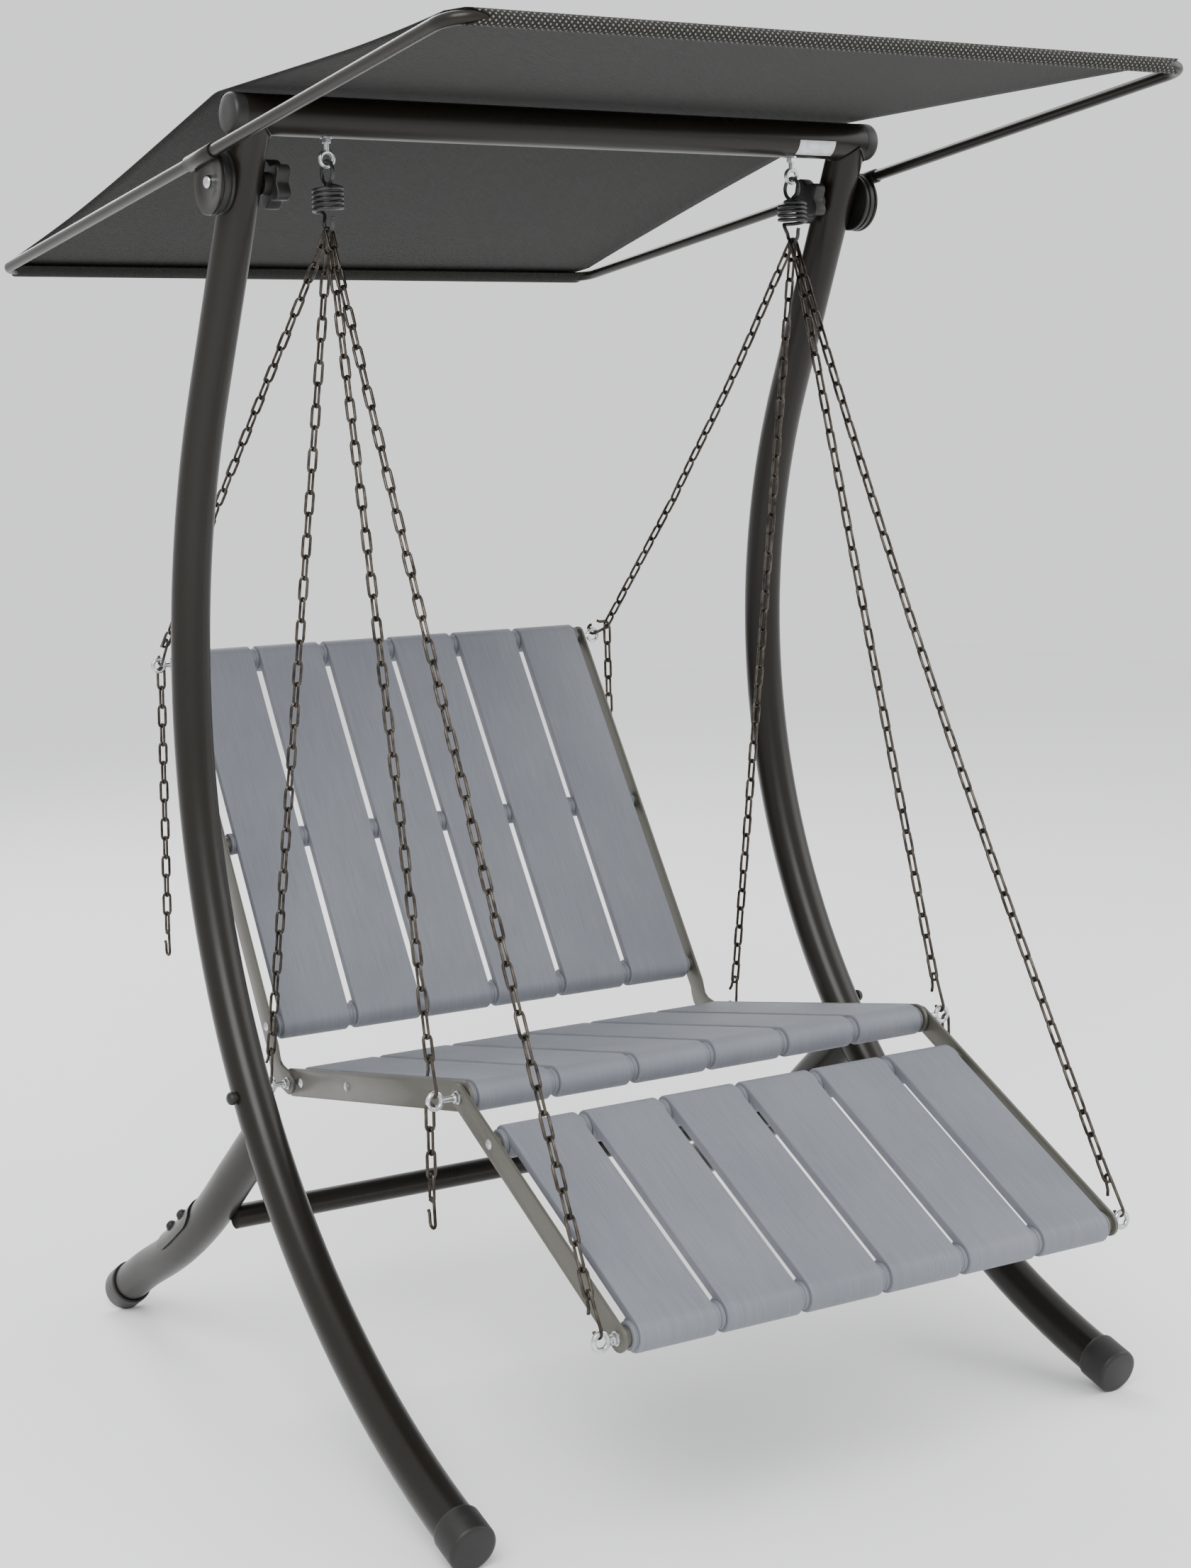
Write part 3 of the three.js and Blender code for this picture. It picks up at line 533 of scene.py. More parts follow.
def addCrossbar():
    bm = bmesh.new()
    sweep(bm, [at(x, 0, barZ) for x in (-560, -280, 0, 280, 560)], tubeR * mm, 48)
    for x in (-bowX, bowX):
        sweep(bm, [at(x, straightY(z), z) for z in (barZ - 6, barZ - 84, seamZ + 0.3)], tubeR * mm, 40)
    addPiece("crossbarTube", bm, "frame", frameFinish, ["crossbar"])
    # weld bead round each stub
    bm = bmesh.new()
    steps = 48
    beadR = tubeR + 0.6
    lean = Vector((0, straightY(barZ - 100), -100)).normalized()
    across = lean.cross(Vector((1, 0, 0)))
    bead = []
    for i in range(steps + 1):
        a = 2 * pi * i / steps
        x = beadR * cos(a)
        t = beadR * sin(a)
        # follow the round underside of the crossbar
        down = (beadR ** 2 - min(abs(t), beadR - 0.01) ** 2) ** 0.5
        bead.append(at(bowX + x, 0, barZ) + (across * t + lean * down) * mm)
    sweep(bm, bead[:-1] + [bead[0]], 2.2 * mm, 8)
    addPair("weldBead", bm, "frame", frameFinish)
    bm = bmesh.new()
    profile = [(0, 0), (30.2, 0), (30.4, 1.5), (30.4, 15), (29.8, 18), (28, 20.5), (25, 22),
               (12, 22.2), (0, 22.2)]
    turned(bm, profile, aimed(at(560.3, 0, barZ), (1, 0, 0)), 48)
    addPair("crossbarCap", bm, "frame", plasticFinish, ["crossbar_cap"])


def footCap(end, before):
    bm = bmesh.new()
    back = (Vector((0, *before)) - Vector((0, *end))).normalized()
    start = at(bowX, *end) - back * 5.5 * mm
    profile = [(0, 0), (27, 0), (30.5, 0.8), (32.6, 2.4), (33.4, 5), (33.5, 40), (33.5, 42.5),
               (32.9, 43.7), (31.6, 44), (30.3, 44), (30.3, 4), (0, 4)]
    turned(bm, profile, aimed(start, back), 48)
    cut = bmesh.ops.bisect_plane(bm, geom=bm.verts[:] + bm.edges[:] + bm.faces[:], plane_co=(0, 0, 0),
                                 plane_no=(0, 0, -1), clear_outer=True)
    rim = edgesOf(cut, "geom_cut")
    bmesh.ops.holes_fill(bm, edges=rim, sides=0)
    return bm


def addFeet():
    front = bowAt(footAngle)
    frontCap = footCap(front, bowAt(footAngle * 12 / 13))
    rearCap = footCap(legLine[-1], legLine[-2])
    addPair("frontFootCap", frontCap, "frame", plasticFinish, ["foot_cap_front"])
    addPair("rearFootCap", rearCap, "frame", plasticFinish, ["foot_cap_rear"])


def addRearLegs():
    line = smoothLine(legLine)
    bm = bmesh.new()
    sweep(bm, [at(bowX, y, z) for y, z in [(48, 408.5)] + line[:19]], tubeR * mm, 40)
    addPair("legStub", bm, "frame", frameFinish, ["rear_leg"])
    bm = bmesh.new()
    sweep(bm, [at(bowX, y, z) for y, z in line[18:]], 29.6 * mm, 40)
    addPair("rearFoot", bm, "frame", frameFinish, ["rear_foot"])
    # half shell over the joint with tapering corners
    bm = bmesh.new()
    points = [at(bowX, y, z) for y, z in smoothLine(legLine, 12)[27:46]]
    rings = []
    last = len(points) - 1
    for index, here in enumerate(framesAlong(points)):
        inset = 16 * (1 - min(1, index / 3, (last - index) / 3)) ** 2
        arc = [radians(inset + (180 - 2 * inset) * i / 18) for i in range(19)]
        outer = [here @ (Vector((cos(a), -sin(a), 0)) * 33 * mm) for a in arc]
        inner = [here @ (Vector((cos(a), -sin(a), 0)) * 29 * mm) for a in reversed(arc)]
        verts = [bm.verts.new(p) for p in outer + inner]
        rings.append([bm.edges.new((verts[i], verts[(i + 1) % len(verts)])) for i in range(len(verts))])
    for a, b in zip(rings, rings[1:]):
        bmesh.ops.bridge_loops(bm, edges=a + b)
    for ring in (rings[0], rings[-1]):
        bmesh.ops.contextual_create(bm, geom=ring)
    addPair("saddle", bm, "frame", frameFinish)
    for number, index in enumerate((16, 19)):
        bm = bmesh.new()
        y, z = line[index]
        run = Vector((0, line[index + 1][0] - y, line[index + 1][1] - z)).normalized()
        out = Vector((0.62, -run.z * 0.785, run.y * 0.785))
        profile = [(0, 31), (9, 31), (9, 34.8), (7.6, 35.2), (7.4, 37), (5.6, 39.2), (3, 40.3), (0, 40.6)]
        turned(bm, profile, aimed(at(bowX, y, z), out), 24)
        addPair("saddleBolt" + str(number + 1), bm, "frame", plasticFinish)


def addLowerBar():
    bm = bmesh.new()
    sweep(bm, [at(x, 188, 249) for x in (-526, -270, 0, 270, 526)], 17.5 * mm, 32)
    addPiece("lowerBar", bm, "frame", frameFinish, ["lower_bar"])
    bm = bmesh.new()
    profile = [(0, 0), (7, 0), (7, 4), (9.4, 4.4), (9.6, 8), (8, 11.5), (5, 13.6), (0, 14.3)]
    turned(bm, profile, aimed(at(570.5, 78, 458), (1, 0, 0)), 28)
    addPair("bowBolt", bm, "frame", plasticFinish, ["bow_bolt"])


def addNamePlate():
    bm = bmesh.new()
    plateR = tubeR + 0.5
    verts = []
    for i in range(9):
        a = pi + 0.17 + 0.91 * i / 8
        verts.append(bm.verts.new(at(420, plateR * cos(a), barZ + plateR * sin(a))))
    edges = [bm.edges.new(pair) for pair in zip(verts, verts[1:])]
    grown = bmesh.ops.extrude_edge_only(bm, edges=edges)
    bmesh.ops.translate(bm, vec=(72 * mm, 0, 0), verts=vertsOf(grown))
    bmesh.ops.recalc_face_normals(bm, faces=bm.faces)
    bmesh.ops.solidify(bm, geom=bm.faces[:], thickness=-0.7 * mm)
    addPiece("namePlate", bm, "frame", plateFinish, ["name_plate"])


# eyes, springs and hooks
hanging = {"x": 423, "eyeZ": 1814, "coilTop": 1771, "hookZ": 1721, "coilR": 21, "turns": 4.7}
hangX, eyeZ = hanging["x"], hanging["eyeZ"]


def ringEye(bm, centre, normal, ringR=10.5, wireR=3.5):
    # A closed ring of wire.
    first = bmesh.ops.create_circle(bm, cap_ends=False, segments=14, radius=wireR * mm)["verts"]
    edges = list({e for v in first for e in v.link_edges})
    bmesh.ops.transform(bm, matrix=Matrix.Rotation(pi / 2, 4, "X"), verts=first)
    bmesh.ops.translate(bm, vec=(ringR * mm, 0, 0), verts=first)
    before = set(bm.verts) - set(first)
    bmesh.ops.spin(bm, geom=first + edges, cent=(0, 0, 0), axis=(0, 0, 1), dvec=(0, 0, 0), angle=2 * pi,
                   steps=36, use_merge=True, use_duplicate=False)
    made = [v for v in bm.verts if v not in before]
    bmesh.ops.transform(bm, matrix=aimed(centre, normal), verts=made)


def hexNut(bm, centre, direction, across=13, high=6.5, bore=4.2):
    top = [(bore, -high / 2), (across / 2, -high / 2), (across / 1.74, -high / 2 + 0.9),
           (across / 1.74, high / 2 - 0.9), (across / 2, high / 2), (bore, high / 2), (bore, -high / 2)]
    turned(bm, top, aimed(centre, direction), 6)


def addTopEyes():
    bm = bmesh.new()
    ringEye(bm, at(hangX, 0, eyeZ), (0, 1, 0))
    sweep(bm, [at(hangX, 0, eyeZ + rise) for rise in (9.5, 21, 46)], 4 * mm, 16)
    hexNut(bm, at(hangX, 0, eyeZ + 26), (0, 0, 1), 13, 7)
    washer = [(4.2, 0), (9.5, 0), (9.5, 1.6), (4.2, 1.6), (4.2, 0)]
    turned(bm, washer, aimed(at(hangX, 0, eyeZ + 29.6), (0, 0, 1)), 28)
    addPair("topEye", bm, "frame", zincFinish, ["top_eye"])


def addSprings():
    hookZ, coilR = hanging["hookZ"], hanging["coilR"]
    ringZ = eyeZ - 10.5 + 3.5 + 3 + 0.4 - 17
    line = []
    for i in range(25):
        a = -1.2 + i * (pi * 1.5 + 1.1) / 24
        line.append((0, 17 * cos(a), ringZ + 17 * sin(a)))
    coil = []
    for i in range(131):
        a = radians(200) + i * hanging["turns"] * 2 * pi / 130
        coil.append((coilR * cos(a), coilR * sin(a), hanging["coilTop"] - 33 * i / 130))
    firstBend = [(-10, -6, hanging["coilTop"] + 3.2)]
    hook = []
    for i in range(17):
        a = -i * pi * 1.05 / 16
        hook.append((0, 13 * cos(a), hookZ + 13 * sin(a)))
    points = smoothLine(line + firstBend, 2)[:-1]
    points += smoothLine([firstBend[0], coil[0]], 3)[1:-1] + coil
    points += smoothLine([coil[-1], (-3, 17, hookZ + 12), hook[0]], 4)[1:-1]
    points += hook + [(0, -14.5, hookZ + 8)]
    bm = bmesh.new()
    sweep(bm, [at(hangX + x, y, z) for x, y, z in points], 3 * mm, 12)
    addPair("spring", bm, "hanger", springFinish, ["spring"])


# canopy
canopy = {"angle": radians(6.65), "rodR": 9, "rodX": 602, "lift": 36, "front": -665, "rear": 880,
          "bend": 40, "ridgeR": 133.7, "thick": 1.4, "hemR": 10.9, "waist": 572, "columns": 57}


def rodZ(y):
    return pivot[1] + canopy["lift"] / cos(canopy["angle"]) - (y - pivot[0]) * tan(canopy["angle"])


def rodLine(endY, startY, steps=10):
    sign = 1 if endY > startY else -1
    bend = canopy["bend"]
    half = [(-canopy["rodX"], startY)]
    for i in range(steps + 1):
        a = i * pi / 2 / steps
        half.append((-canopy["rodX"] + bend * (1 - cos(a)), endY - sign * bend * (1 - sin(a))))
    both = half + [(-x, y) for x, y in reversed(half)]
    return [at(x, y, rodZ(y)) for x, y in both]


def addCanopyFrame():
    for name, apart in (("front", -0.3), ("rear", 0.3)):
        bm = bmesh.new()
        sweep(bm, rodLine(canopy[name], pivot[0] + apart), canopy["rodR"] * mm, 24)
        addPiece("canopyRod_" + name, bm, "canopy", frameFinish, ["canopy_frame_" + name])


def addTiltClamps():
    y, z = pivot
    bm = bmesh.new()
    profile = [(4.4, 0), (45.5, 0), (47, 1.5), (47, 5.2), (44.8, 6.0), (44.8, 8.8), (47, 9.6), (47, 16.2),
               (45.5, 17.7), (4.4, 17.7), (4.4, 0)]
    turned(bm, profile, aimed(at(572.3, y, z), (1, 0, 0)), 64)
    addPair("frictionDisc", bm, "frame", plasticFinish, ["friction_disc"])
    bm = bmesh.new()
    profile = [(4.4, 0), (47, 0), (48, 1), (48, 4), (47, 5), (30, 5), (28.5, 4.2), (4.4, 4.2), (4.4, 0)]
    turned(bm, profile, aimed(at(590.3, y, z), (1, 0, 0)), 64)
    lean = canopy["angle"]
    lift = canopy["lift"]
    middle = Vector((canopy["rodX"], y + lift * sin(lean), z + lift * cos(lean)))
    run = Vector((0, cos(lean), -sin(lean)))
    start = middle - run * 43
    profile = [(9.4, 0), (11.2, 0), (11.6, 0.6), (11.6, 85.4), (11.2, 86), (9.4, 86), (9.4, 0)]
    turned(bm, profile, aimed(at(*start), run), 28)
    addPair("canopyClip", bm, "canopy", frameFinish, ["canopy_clip"])
    bm = bmesh.new()
    profile = [(0, 0), (9.8, 0), (10, 1), (9, 2.9), (6.6, 4.7), (3, 5.8), (0, 6)]
    turned(bm, profile, aimed(at(594.9, y, z), (1, 0, 0)), 32)
    sweep(bm, [at(485.7, y, z), at(596, y, z)], 3.9 * mm, 16)
    addPair("tiltBolt", bm, "canopy", zincFinish, ["tilt_bolt"])
    bm = bmesh.new()
    grip = Outline(bm, 477.7, (y + 38, z))
    for i in range(1, 60):
        a = i * pi / 30
        r = 32.5 + 5.5 * cos(5 * a)
        grip.line(y + r * cos(a), z + r * sin(a))
    grip.thicken(22, 2.5, 3)
    for vert in bm.verts:
        vert.co.y += barY * mm
    profile = [(0, 0), (17, 0), (17.5, 1), (16.6, 14), (4.2, 14), (4.2, 3), (0, 3)]
    turned(bm, profile, aimed(at(497.4, y, z), (1, 0, 0)), 32)
    addPair("tiltKnob", bm, "knob", plasticFinish, ["tilt_knob"])


def addCanopyCloth():
    # One sheet from hem to hem over the crossbar, with a sleeve round each end rod.
    hemR = canopy["hemR"]
    front = (canopy["front"], rodZ(canopy["front"]) + hemR)
    rear = (canopy["rear"], rodZ(canopy["rear"]) + hemR)
    ridge = canopy["ridgeR"] + canopy["thick"]

    def tangent(p):
        reach = hypot(p[0] - pivot[0], p[1] - pivot[1])
        turn = acos(ridge / reach)
        base = atan2(p[1] - pivot[1], p[0] - pivot[0])
        return base - turn if p[0] < pivot[0] else base + turn

    a0, a1 = tangent(front), tangent(rear)
    line = []
    for i in range(1, 24):
        t = i / 24
        y = front[0] + (pivot[0] + ridge * cos(a0) - front[0]) * t
        line.append((y, front[1] + (pivot[1] + ridge * sin(a0) - front[1]) * t))
    for i in range(7):
        a = a0 + (a1 - a0) * i / 6
        line.append((pivot[0] + ridge * cos(a), pivot[1] + ridge * sin(a)))
    for i in range(1, 28):
        t = i / 28
        y = pivot[0] + ridge * cos(a1) + (rear[0] - pivot[0] - ridge * cos(a1)) * t
        line.append((y, pivot[1] + ridge * sin(a1) + (rear[1] - pivot[1] - ridge * sin(a1)) * t))

    def sleeve(y, z, sign, steps=14):
        # from underneath, round the outside of the rod, up to the top
        out = []
        for i in range(steps + 1):
            a = -pi * 0.72 + (pi * 0.72 + pi / 2) * i / steps
            out.append((y + sign * hemR * cos(a), z - hemR + hemR * sin(a)))
        return out

    frontHem = sleeve(front[0], front[1], -1)
    rearHem = sleeve(rear[0], rear[1], 1)
    inFront = [(front[0] + 26, rodZ(front[0] + 26) + 2.5)]
    inRear = [(rear[0] - 26, rodZ(rear[0] - 26) + 2.5)]
    path = inFront + frontHem + line + list(reversed(rearHem)) + inRear
    lengths = [0]
    for a, b in zip(path, path[1:]):
        lengths.append(lengths[-1] + hypot(b[0] - a[0], b[1] - a[1]))

    def halfWidth(y):
        reachFront = max(0.0, min(1.0, (-y - 230) / (-canopy["front"] - 230)))
        reachRear = max(0.0, min(1.0, (y - 300) / (canopy["rear"] - 300)))
        wide = canopy["waist"] + 26 * reachFront ** 2.2 + 26 * reachRear ** 2.2
        corner = canopy["bend"] + 6
        for edge, sign in ((canopy["front"] - hemR, 1), (canopy["rear"] + hemR, -1)):
            depth = (y - edge) * sign
            if depth < corner:
                curve = (corner ** 2 - (corner - max(depth, 0)) ** 2) ** 0.5
                wide = min(wide, canopy["rodX"] - 4 - corner + curve)
        return wide

    columns = canopy["columns"]
    bm = bmesh.new()
    uvs = bm.loops.layers.uv.new("weave")
    first = [bm.verts.new(at(0, *path[0])) for _ in range(columns)]
    ring = [bm.edges.new(pair) for pair in zip(first, first[1:])]
    rows = [first]
    for index in range(1, len(path)):
        grown = bmesh.ops.extrude_edge_only(bm, edges=ring)
        verts = vertsOf(grown)
        chosen = set(verts)
        ring = [e for e in edgesOf(grown) if e.verts[0] in chosen and e.verts[1] in chosen]
        # keep the row in order
        ends = [v for v in verts if sum(e.other_vert(v) in chosen for e in v.link_edges) == 1]
        start = [v for v in ends if rows[-1][0] in [e.other_vert(v) for e in v.link_edges]][0]
        row, last = [start], None
        while len(row) < columns:
            step = [e.other_vert(row[-1]) for e in row[-1].link_edges if e.other_vert(row[-1]) in chosen
                    and e.other_vert(row[-1]) is not last][0]
            last = row[-1]
            row.append(step)
        rows.append(row)
    total = lengths[-1]
    flatOf = {}
    for index, row in enumerate(rows):
        y, z = path[index]
        hem = index <= len(frontHem) or index >= len(path) - 1 - len(rearHem)
        wide = halfWidth(y)
        for number, vert in enumerate(row):
            t = number / (columns - 1) * 2 - 1
            sag = 0.0
            if not hem:
                # the cloth hangs a little between the side edges and curls down at them
                reach = min(lengths[index] - 60, total - 60 - lengths[index]) / total
                away = max(0.0, min(1.0, reach * 6))
                sag = 3.0 * away * abs(t) ** 6
            vert.co = at(t * wide, y, z - sag)
            flatOf[vert] = (t * wide * mm, lengths[index] * mm)
    for face in bm.faces:
        for loop in face.loops:
            loop[uvs].uv = flatOf[loop.vert]
    bmesh.ops.recalc_face_normals(bm, faces=bm.faces)
    if sum(face.normal.z for face in bm.faces) < 0:
        bmesh.ops.reverse_faces(bm, faces=bm.faces)
    piece = addPiece("canopyCloth", bm, "canopy", clothFinish, ["canopy_fabric"], 0, False)
    wall = piece.modifiers.new("wall", "SOLIDIFY")
    wall.thickness = canopy["thick"] * mm
    wall.offset = -1
    steps = [after - before for before, after in zip(lengths, lengths[1:])]
    area = sum(2 * halfWidth(place[0]) * step for place, step in zip(path, steps)) * mm * mm


# seat, backrest and footrest
seatRear, seatFront = (240, 420), (-279, 514)
backTop, backBend, footFront = (632, 1038), (292, 462), (-647, 304)


def between(a, b, distance, lift=0):
    dy, dz = b[0] - a[0], b[1] - a[1]
    length = hypot(dy, dz)
    y = a[0] + dy * distance / length - dz * lift / length
    z = a[1] + dz * distance / length + dy * lift / length
    return y, z


def spanOf(a, b):
    return hypot(b[0] - a[0], b[1] - a[1])


sections = {
    "seat": {"tubes": [seatFront, between(seatRear, seatFront, 183), between(seatRear, seatFront, 30)],
             "bar": [seatFront, seatRear], "high": 42, "inner": 394, "body": "seat", "square": 13},
    "backrest": {"tubes": [between(backBend, backTop, 36), between(backBend, backTop, 341), backTop],
                 "bar": [backTop, backBend, (282, 430), seatRear], "high": 35, "inner": 402,
                 "body": "backrest",
                 "rear": [(307, 453), (305, 441), (299.5, 428), (290, 417.5), (277, 411)],
                 "front": [(277, 471), (272.3, 456), (269.5, 449), (262, 443.3)]},
    "footrest": {"tubes": [footFront, between(seatFront, footFront, 90)],
                 "bar": [seatFront, footFront], "high": 35, "inner": 402, "body": "footrest"},
}
slats = {"width": 116, "pitch": 131, "count": 6, "rollR": 22, "thick": 14, "bossR": 17, "edge": 2.2,
         "collarR": 17.6, "collarBore": 12.9}


def stripOutline(bm, x, part):
    # a strip of constant height along a line, with round or squared ends
    line, half, square = part["bar"], part["high"] / 2, part.get("square", 0)

    def unit(a, b):
        length = spanOf(a, b)
        return (b[0] - a[0]) / length, (b[1] - a[1]) / length
    dy, dz = unit(line[0], line[1])
    uy, uz = unit(line[-2], line[-1])
    end = line[-1]
    outline = Outline(bm, x, (line[0][0] + dz * half, line[0][1] - dy * half))
    outline.arc(line[0][0], line[0][1], -pi, 12)
    for place in part.get("rear", ()):
        outline.line(*place)
    if square:
        ahead, aside = square - 8, half - 8
        outline.line(end[0] + uy * ahead - uz * half, end[1] + uz * ahead + uy * half)
        outline.arc(end[0] + uy * ahead - uz * aside, end[1] + uz * ahead + uy * aside, -pi / 2, 5)
        outline.line(end[0] + uy * square + uz * aside, end[1] + uz * square - uy * aside)
        outline.arc(end[0] + uy * ahead + uz * aside, end[1] + uz * ahead - uy * aside, -pi / 2, 5)
    else:
        outline.line(end[0] - uz * half, end[1] + uy * half)
        outline.arc(end[0], end[1], -pi, 12)
    for place in reversed(part.get("front", ())):
        outline.line(*place)
    return outline


def shiftToBar(bm):
    bmesh.ops.translate(bm, vec=(0, barY * mm, 0), verts=bm.verts)


def addSectionFrame(name):
    part = sections[name]
    bm = bmesh.new()
    stripOutline(bm, part["inner"], part).thicken(5, 0.8, 2)
    shiftToBar(bm)
    addPair(name + "Bar", bm, part["body"], barFinish)
    bm = bmesh.new()
    for y, z in part["tubes"]:
        sweep(bm, [at(x, y, z) for x in (-part["inner"] - 0.5, 0, part["inner"] + 0.5)], 12.5 * mm, 20)
    addPiece(name + "Tubes", bm, part["body"], barFinish, [name + "_frame"])


def slatOutline(bm, x, length, middle):
    r, thick = slats["rollR"], slats["thick"]
    under = r - thick
    opening = asin(under / r)
    outline = Outline(bm, x, (0, r))
    outline.arc(0, 0, pi * 1.5 + opening, 20)
    if middle:
        side = asin(under / slats["bossR"])
        outline.line(middle - slats["bossR"] * cos(side), under)
        outline.arc(middle, 0, pi + 2 * side, 12)
    outline.line(length - r * cos(opening), under)
    outline.arc(length, 0, pi * 1.5 + opening, 20)
    return outline


def addSlats(name):
    part = sections[name]
    start, end = part["tubes"][0], part["tubes"][-1]
    length = spanOf(start, end)
    middle = spanOf(start, part["tubes"][1]) if len(part["tubes"]) > 2 else 0
    lean = atan2(end[1] - start[1], end[0] - start[0])
    tilt = Matrix.Translation(at(0, *start)) @ Matrix.Rotation(lean, 4, "X")
    half = (slats["count"] - 1) / 2
    for i in range(slats["count"]):
        bm = bmesh.new()
        x = (i - half) * slats["pitch"] - slats["width"] / 2
        slatOutline(bm, x, length, middle).thicken(slats["width"], slats["edge"], 3)
        bmesh.ops.transform(bm, matrix=tilt, verts=bm.verts)
        stoodFor = [name + "_slats"] if i == 0 else ()
        addPiece(name + "Slat" + str(i + 1), bm, part["body"], slatFinish, stoodFor, 35)
    bm = bmesh.new()
    gapWide = slats["pitch"] - slats["width"]
    for i in range(slats["count"] + 1):
        outside = i in (0, slats["count"])
        wide = 7 if outside else gapWide - 0.6
        x = (i - half - 0.5) * slats["pitch"]
        if outside:
            x += (gapWide - wide) / 2 * (1 if i == 0 else -1)
        for s in [spanOf(start, tube) for tube in part["tubes"]]:
            r, bore = slats["collarR"], slats["collarBore"]
            profile = [(bore, 0), (r - 1, 0), (r, 0.8), (r, wide / 2 - 1), (r - 0.9, wide / 2 - 0.6),
                       (r - 0.9, wide / 2 + 0.6), (r, wide / 2 + 1), (r, wide - 0.8), (r - 1, wide),
                       (bore, wide), (bore, 0)]
            turned(bm, profile, aimed(Vector((x - wide / 2, s, 0)) * mm, (1, 0, 0)), 24)
    bmesh.ops.transform(bm, matrix=tilt, verts=bm.verts)
    addPiece(name + "Collars", bm, part["body"], slatFinish)


eyes = {
    "rearHingeEye": {"place": seatRear, "ringX": 440, "body": "seat", "node": "rear_hinge_eye"},
    "frontHingeEye": {"place": seatFront, "ringX": 443, "body": "seat", "node": "front_hinge_eye"},
    "backEye": {"place": backTop, "ringX": 435, "body": "backrest", "node": "back_eye"},
    "footrestEye": {"place": footFront, "ringX": 430, "body": "footrest", "node": "footrest_eye"},
}


def addEyes():
    for name, eye in eyes.items():
        bm = bmesh.new()
        y, z = eye["place"]
        ringEye(bm, at(eye["ringX"], y, z), (0, 1, 0))
        sweep(bm, [at(x, y, z) for x in (380, eye["ringX"] - 9.5)], 4 * mm, 16)
        hexNut(bm, at(411, y, z), (1, 0, 0), 13, 6.5)
        profile = [(4.2, 0), (9, 0), (9, 1.4), (4.2, 1.4), (4.2, 0)]
        turned(bm, profile, aimed(at(407.3, y, z), (1, 0, 0)), 24)
        addPair(name, bm, eye["body"], zincFinish, [eye["node"]])


def addScrews():
    # Small dome screws where the middle cross tubes meet the side bars.
    spots = (("seat", 1), ("seat", 2), ("footrest", 1), ("backrest", 1), ("backrest", 0))
    for number, (body, tube) in enumerate(spots):
        y, z = sections[body]["tubes"][tube]
        x = sections[body]["inner"] + 5
        bm = bmesh.new()
        profile = [(0, 0), (7, 0), (7, 0.7), (5, 2.2), (2.2, 2.8), (1.8, 1.6), (0, 1.6)]
        turned(bm, profile, aimed(at(x - 0.1, y, z), (1, 0, 0)), 20)
        addPair("screw" + str(number + 1), bm, body, zincFinish)


# chains
link = {"pitch": 32, "wireR": 2.3, "bendR": 6.0, "half": 12.3}
hookPlace = (0, 1711)


def linkMesh(wireR):
    # One short link: a wire circle spun round one end, drawn out straight and spun round the other.
    bm = bmesh.new()
    first = bmesh.ops.create_circle(bm, cap_ends=False, segments=6, radius=wireR * mm)["verts"]
    ring = list({e for v in first for e in v.link_edges})
    start = ring
    bmesh.ops.translate(bm, vec=(link["bendR"] * mm, 0, link["half"] * mm), verts=first)
    for sign in (1, -1):
        verts = list({v for e in ring for v in e.verts})
        spun = bmesh.ops.spin(bm, geom=verts + ring, cent=(0, 0, sign * link["half"] * mm),
                              axis=(0, -1, 0), dvec=(0, 0, 0), angle=pi, steps=5, use_merge=False)
        ring = edgesOf(spun, "geom_last")
        if sign == 1:
            grown = bmesh.ops.extrude_edge_only(bm, edges=ring)
            verts = vertsOf(grown)
            bmesh.ops.translate(bm, vec=(0, 0, -2 * link["half"] * mm), verts=verts)
            chosen = set(verts)
            ring = [e for e in edgesOf(grown) if e.verts[0] in chosen and e.verts[1] in chosen]
    bmesh.ops.bridge_loops(bm, edges=ring + start)
    bmesh.ops.recalc_face_normals(bm, faces=bm.faces)
    mesh = bpy.data.meshes.new("chainLink")
    bm.to_mesh(mesh)
    bm.free()
    return mesh


bigLink = linkMesh(link["wireR"])
thinLink = linkMesh(link["wireR"] - 0.12)


def chainLine(x0, x1, end, sag=0, straight=0.0):
    # place at a distance from the hook; the last part of it stays straight where links slide on it
    full = spanOf(hookPlace, end)

    def place(s):
        bent = min(1, s / full / (1 - straight))
        curve = sin(pi * bent) ** (2 if straight else 1)
        return at(x0 + (x1 - x0) * bent, *between(hookPlace, end, s, sag * curve))
    return place


def addLinks(bm, mesh, line, places, firstTurn=0):
    # every second link is turned by a quarter
    for number, s in enumerate(places):
        along = (line(s + 1) - line(s - 1)).normalized()
        side = (Vector((1, 0, 0)) - along * along.x).normalized()
        basis = Matrix((side, along.cross(side), along)).transposed().to_4x4()
        before = len(bm.verts)
        bm.from_mesh(mesh)
        bm.verts.ensure_lookup_table()
        made = bm.verts[before:]
        turn = Matrix.Rotation((number + firstTurn) % 2 * pi / 2, 4, "Z")
        bmesh.ops.transform(bm, matrix=Matrix.Translation(line(s)) @ basis @ turn, verts=made)


def spread(first, last):
    steps = max(1, round((last - first) / link["pitch"]))
    return [first + (last - first) * i / steps for i in range(steps + 1)]


def addSide(name, end, bm, body, finish, nodes=(), smooth=0):
    # one side of a pair whose two sides differ
    if end == "_l":
        bm = mirrored(bm)
    addPiece(name + end, bm, body, finish, [node + end for node in nodes], smooth)


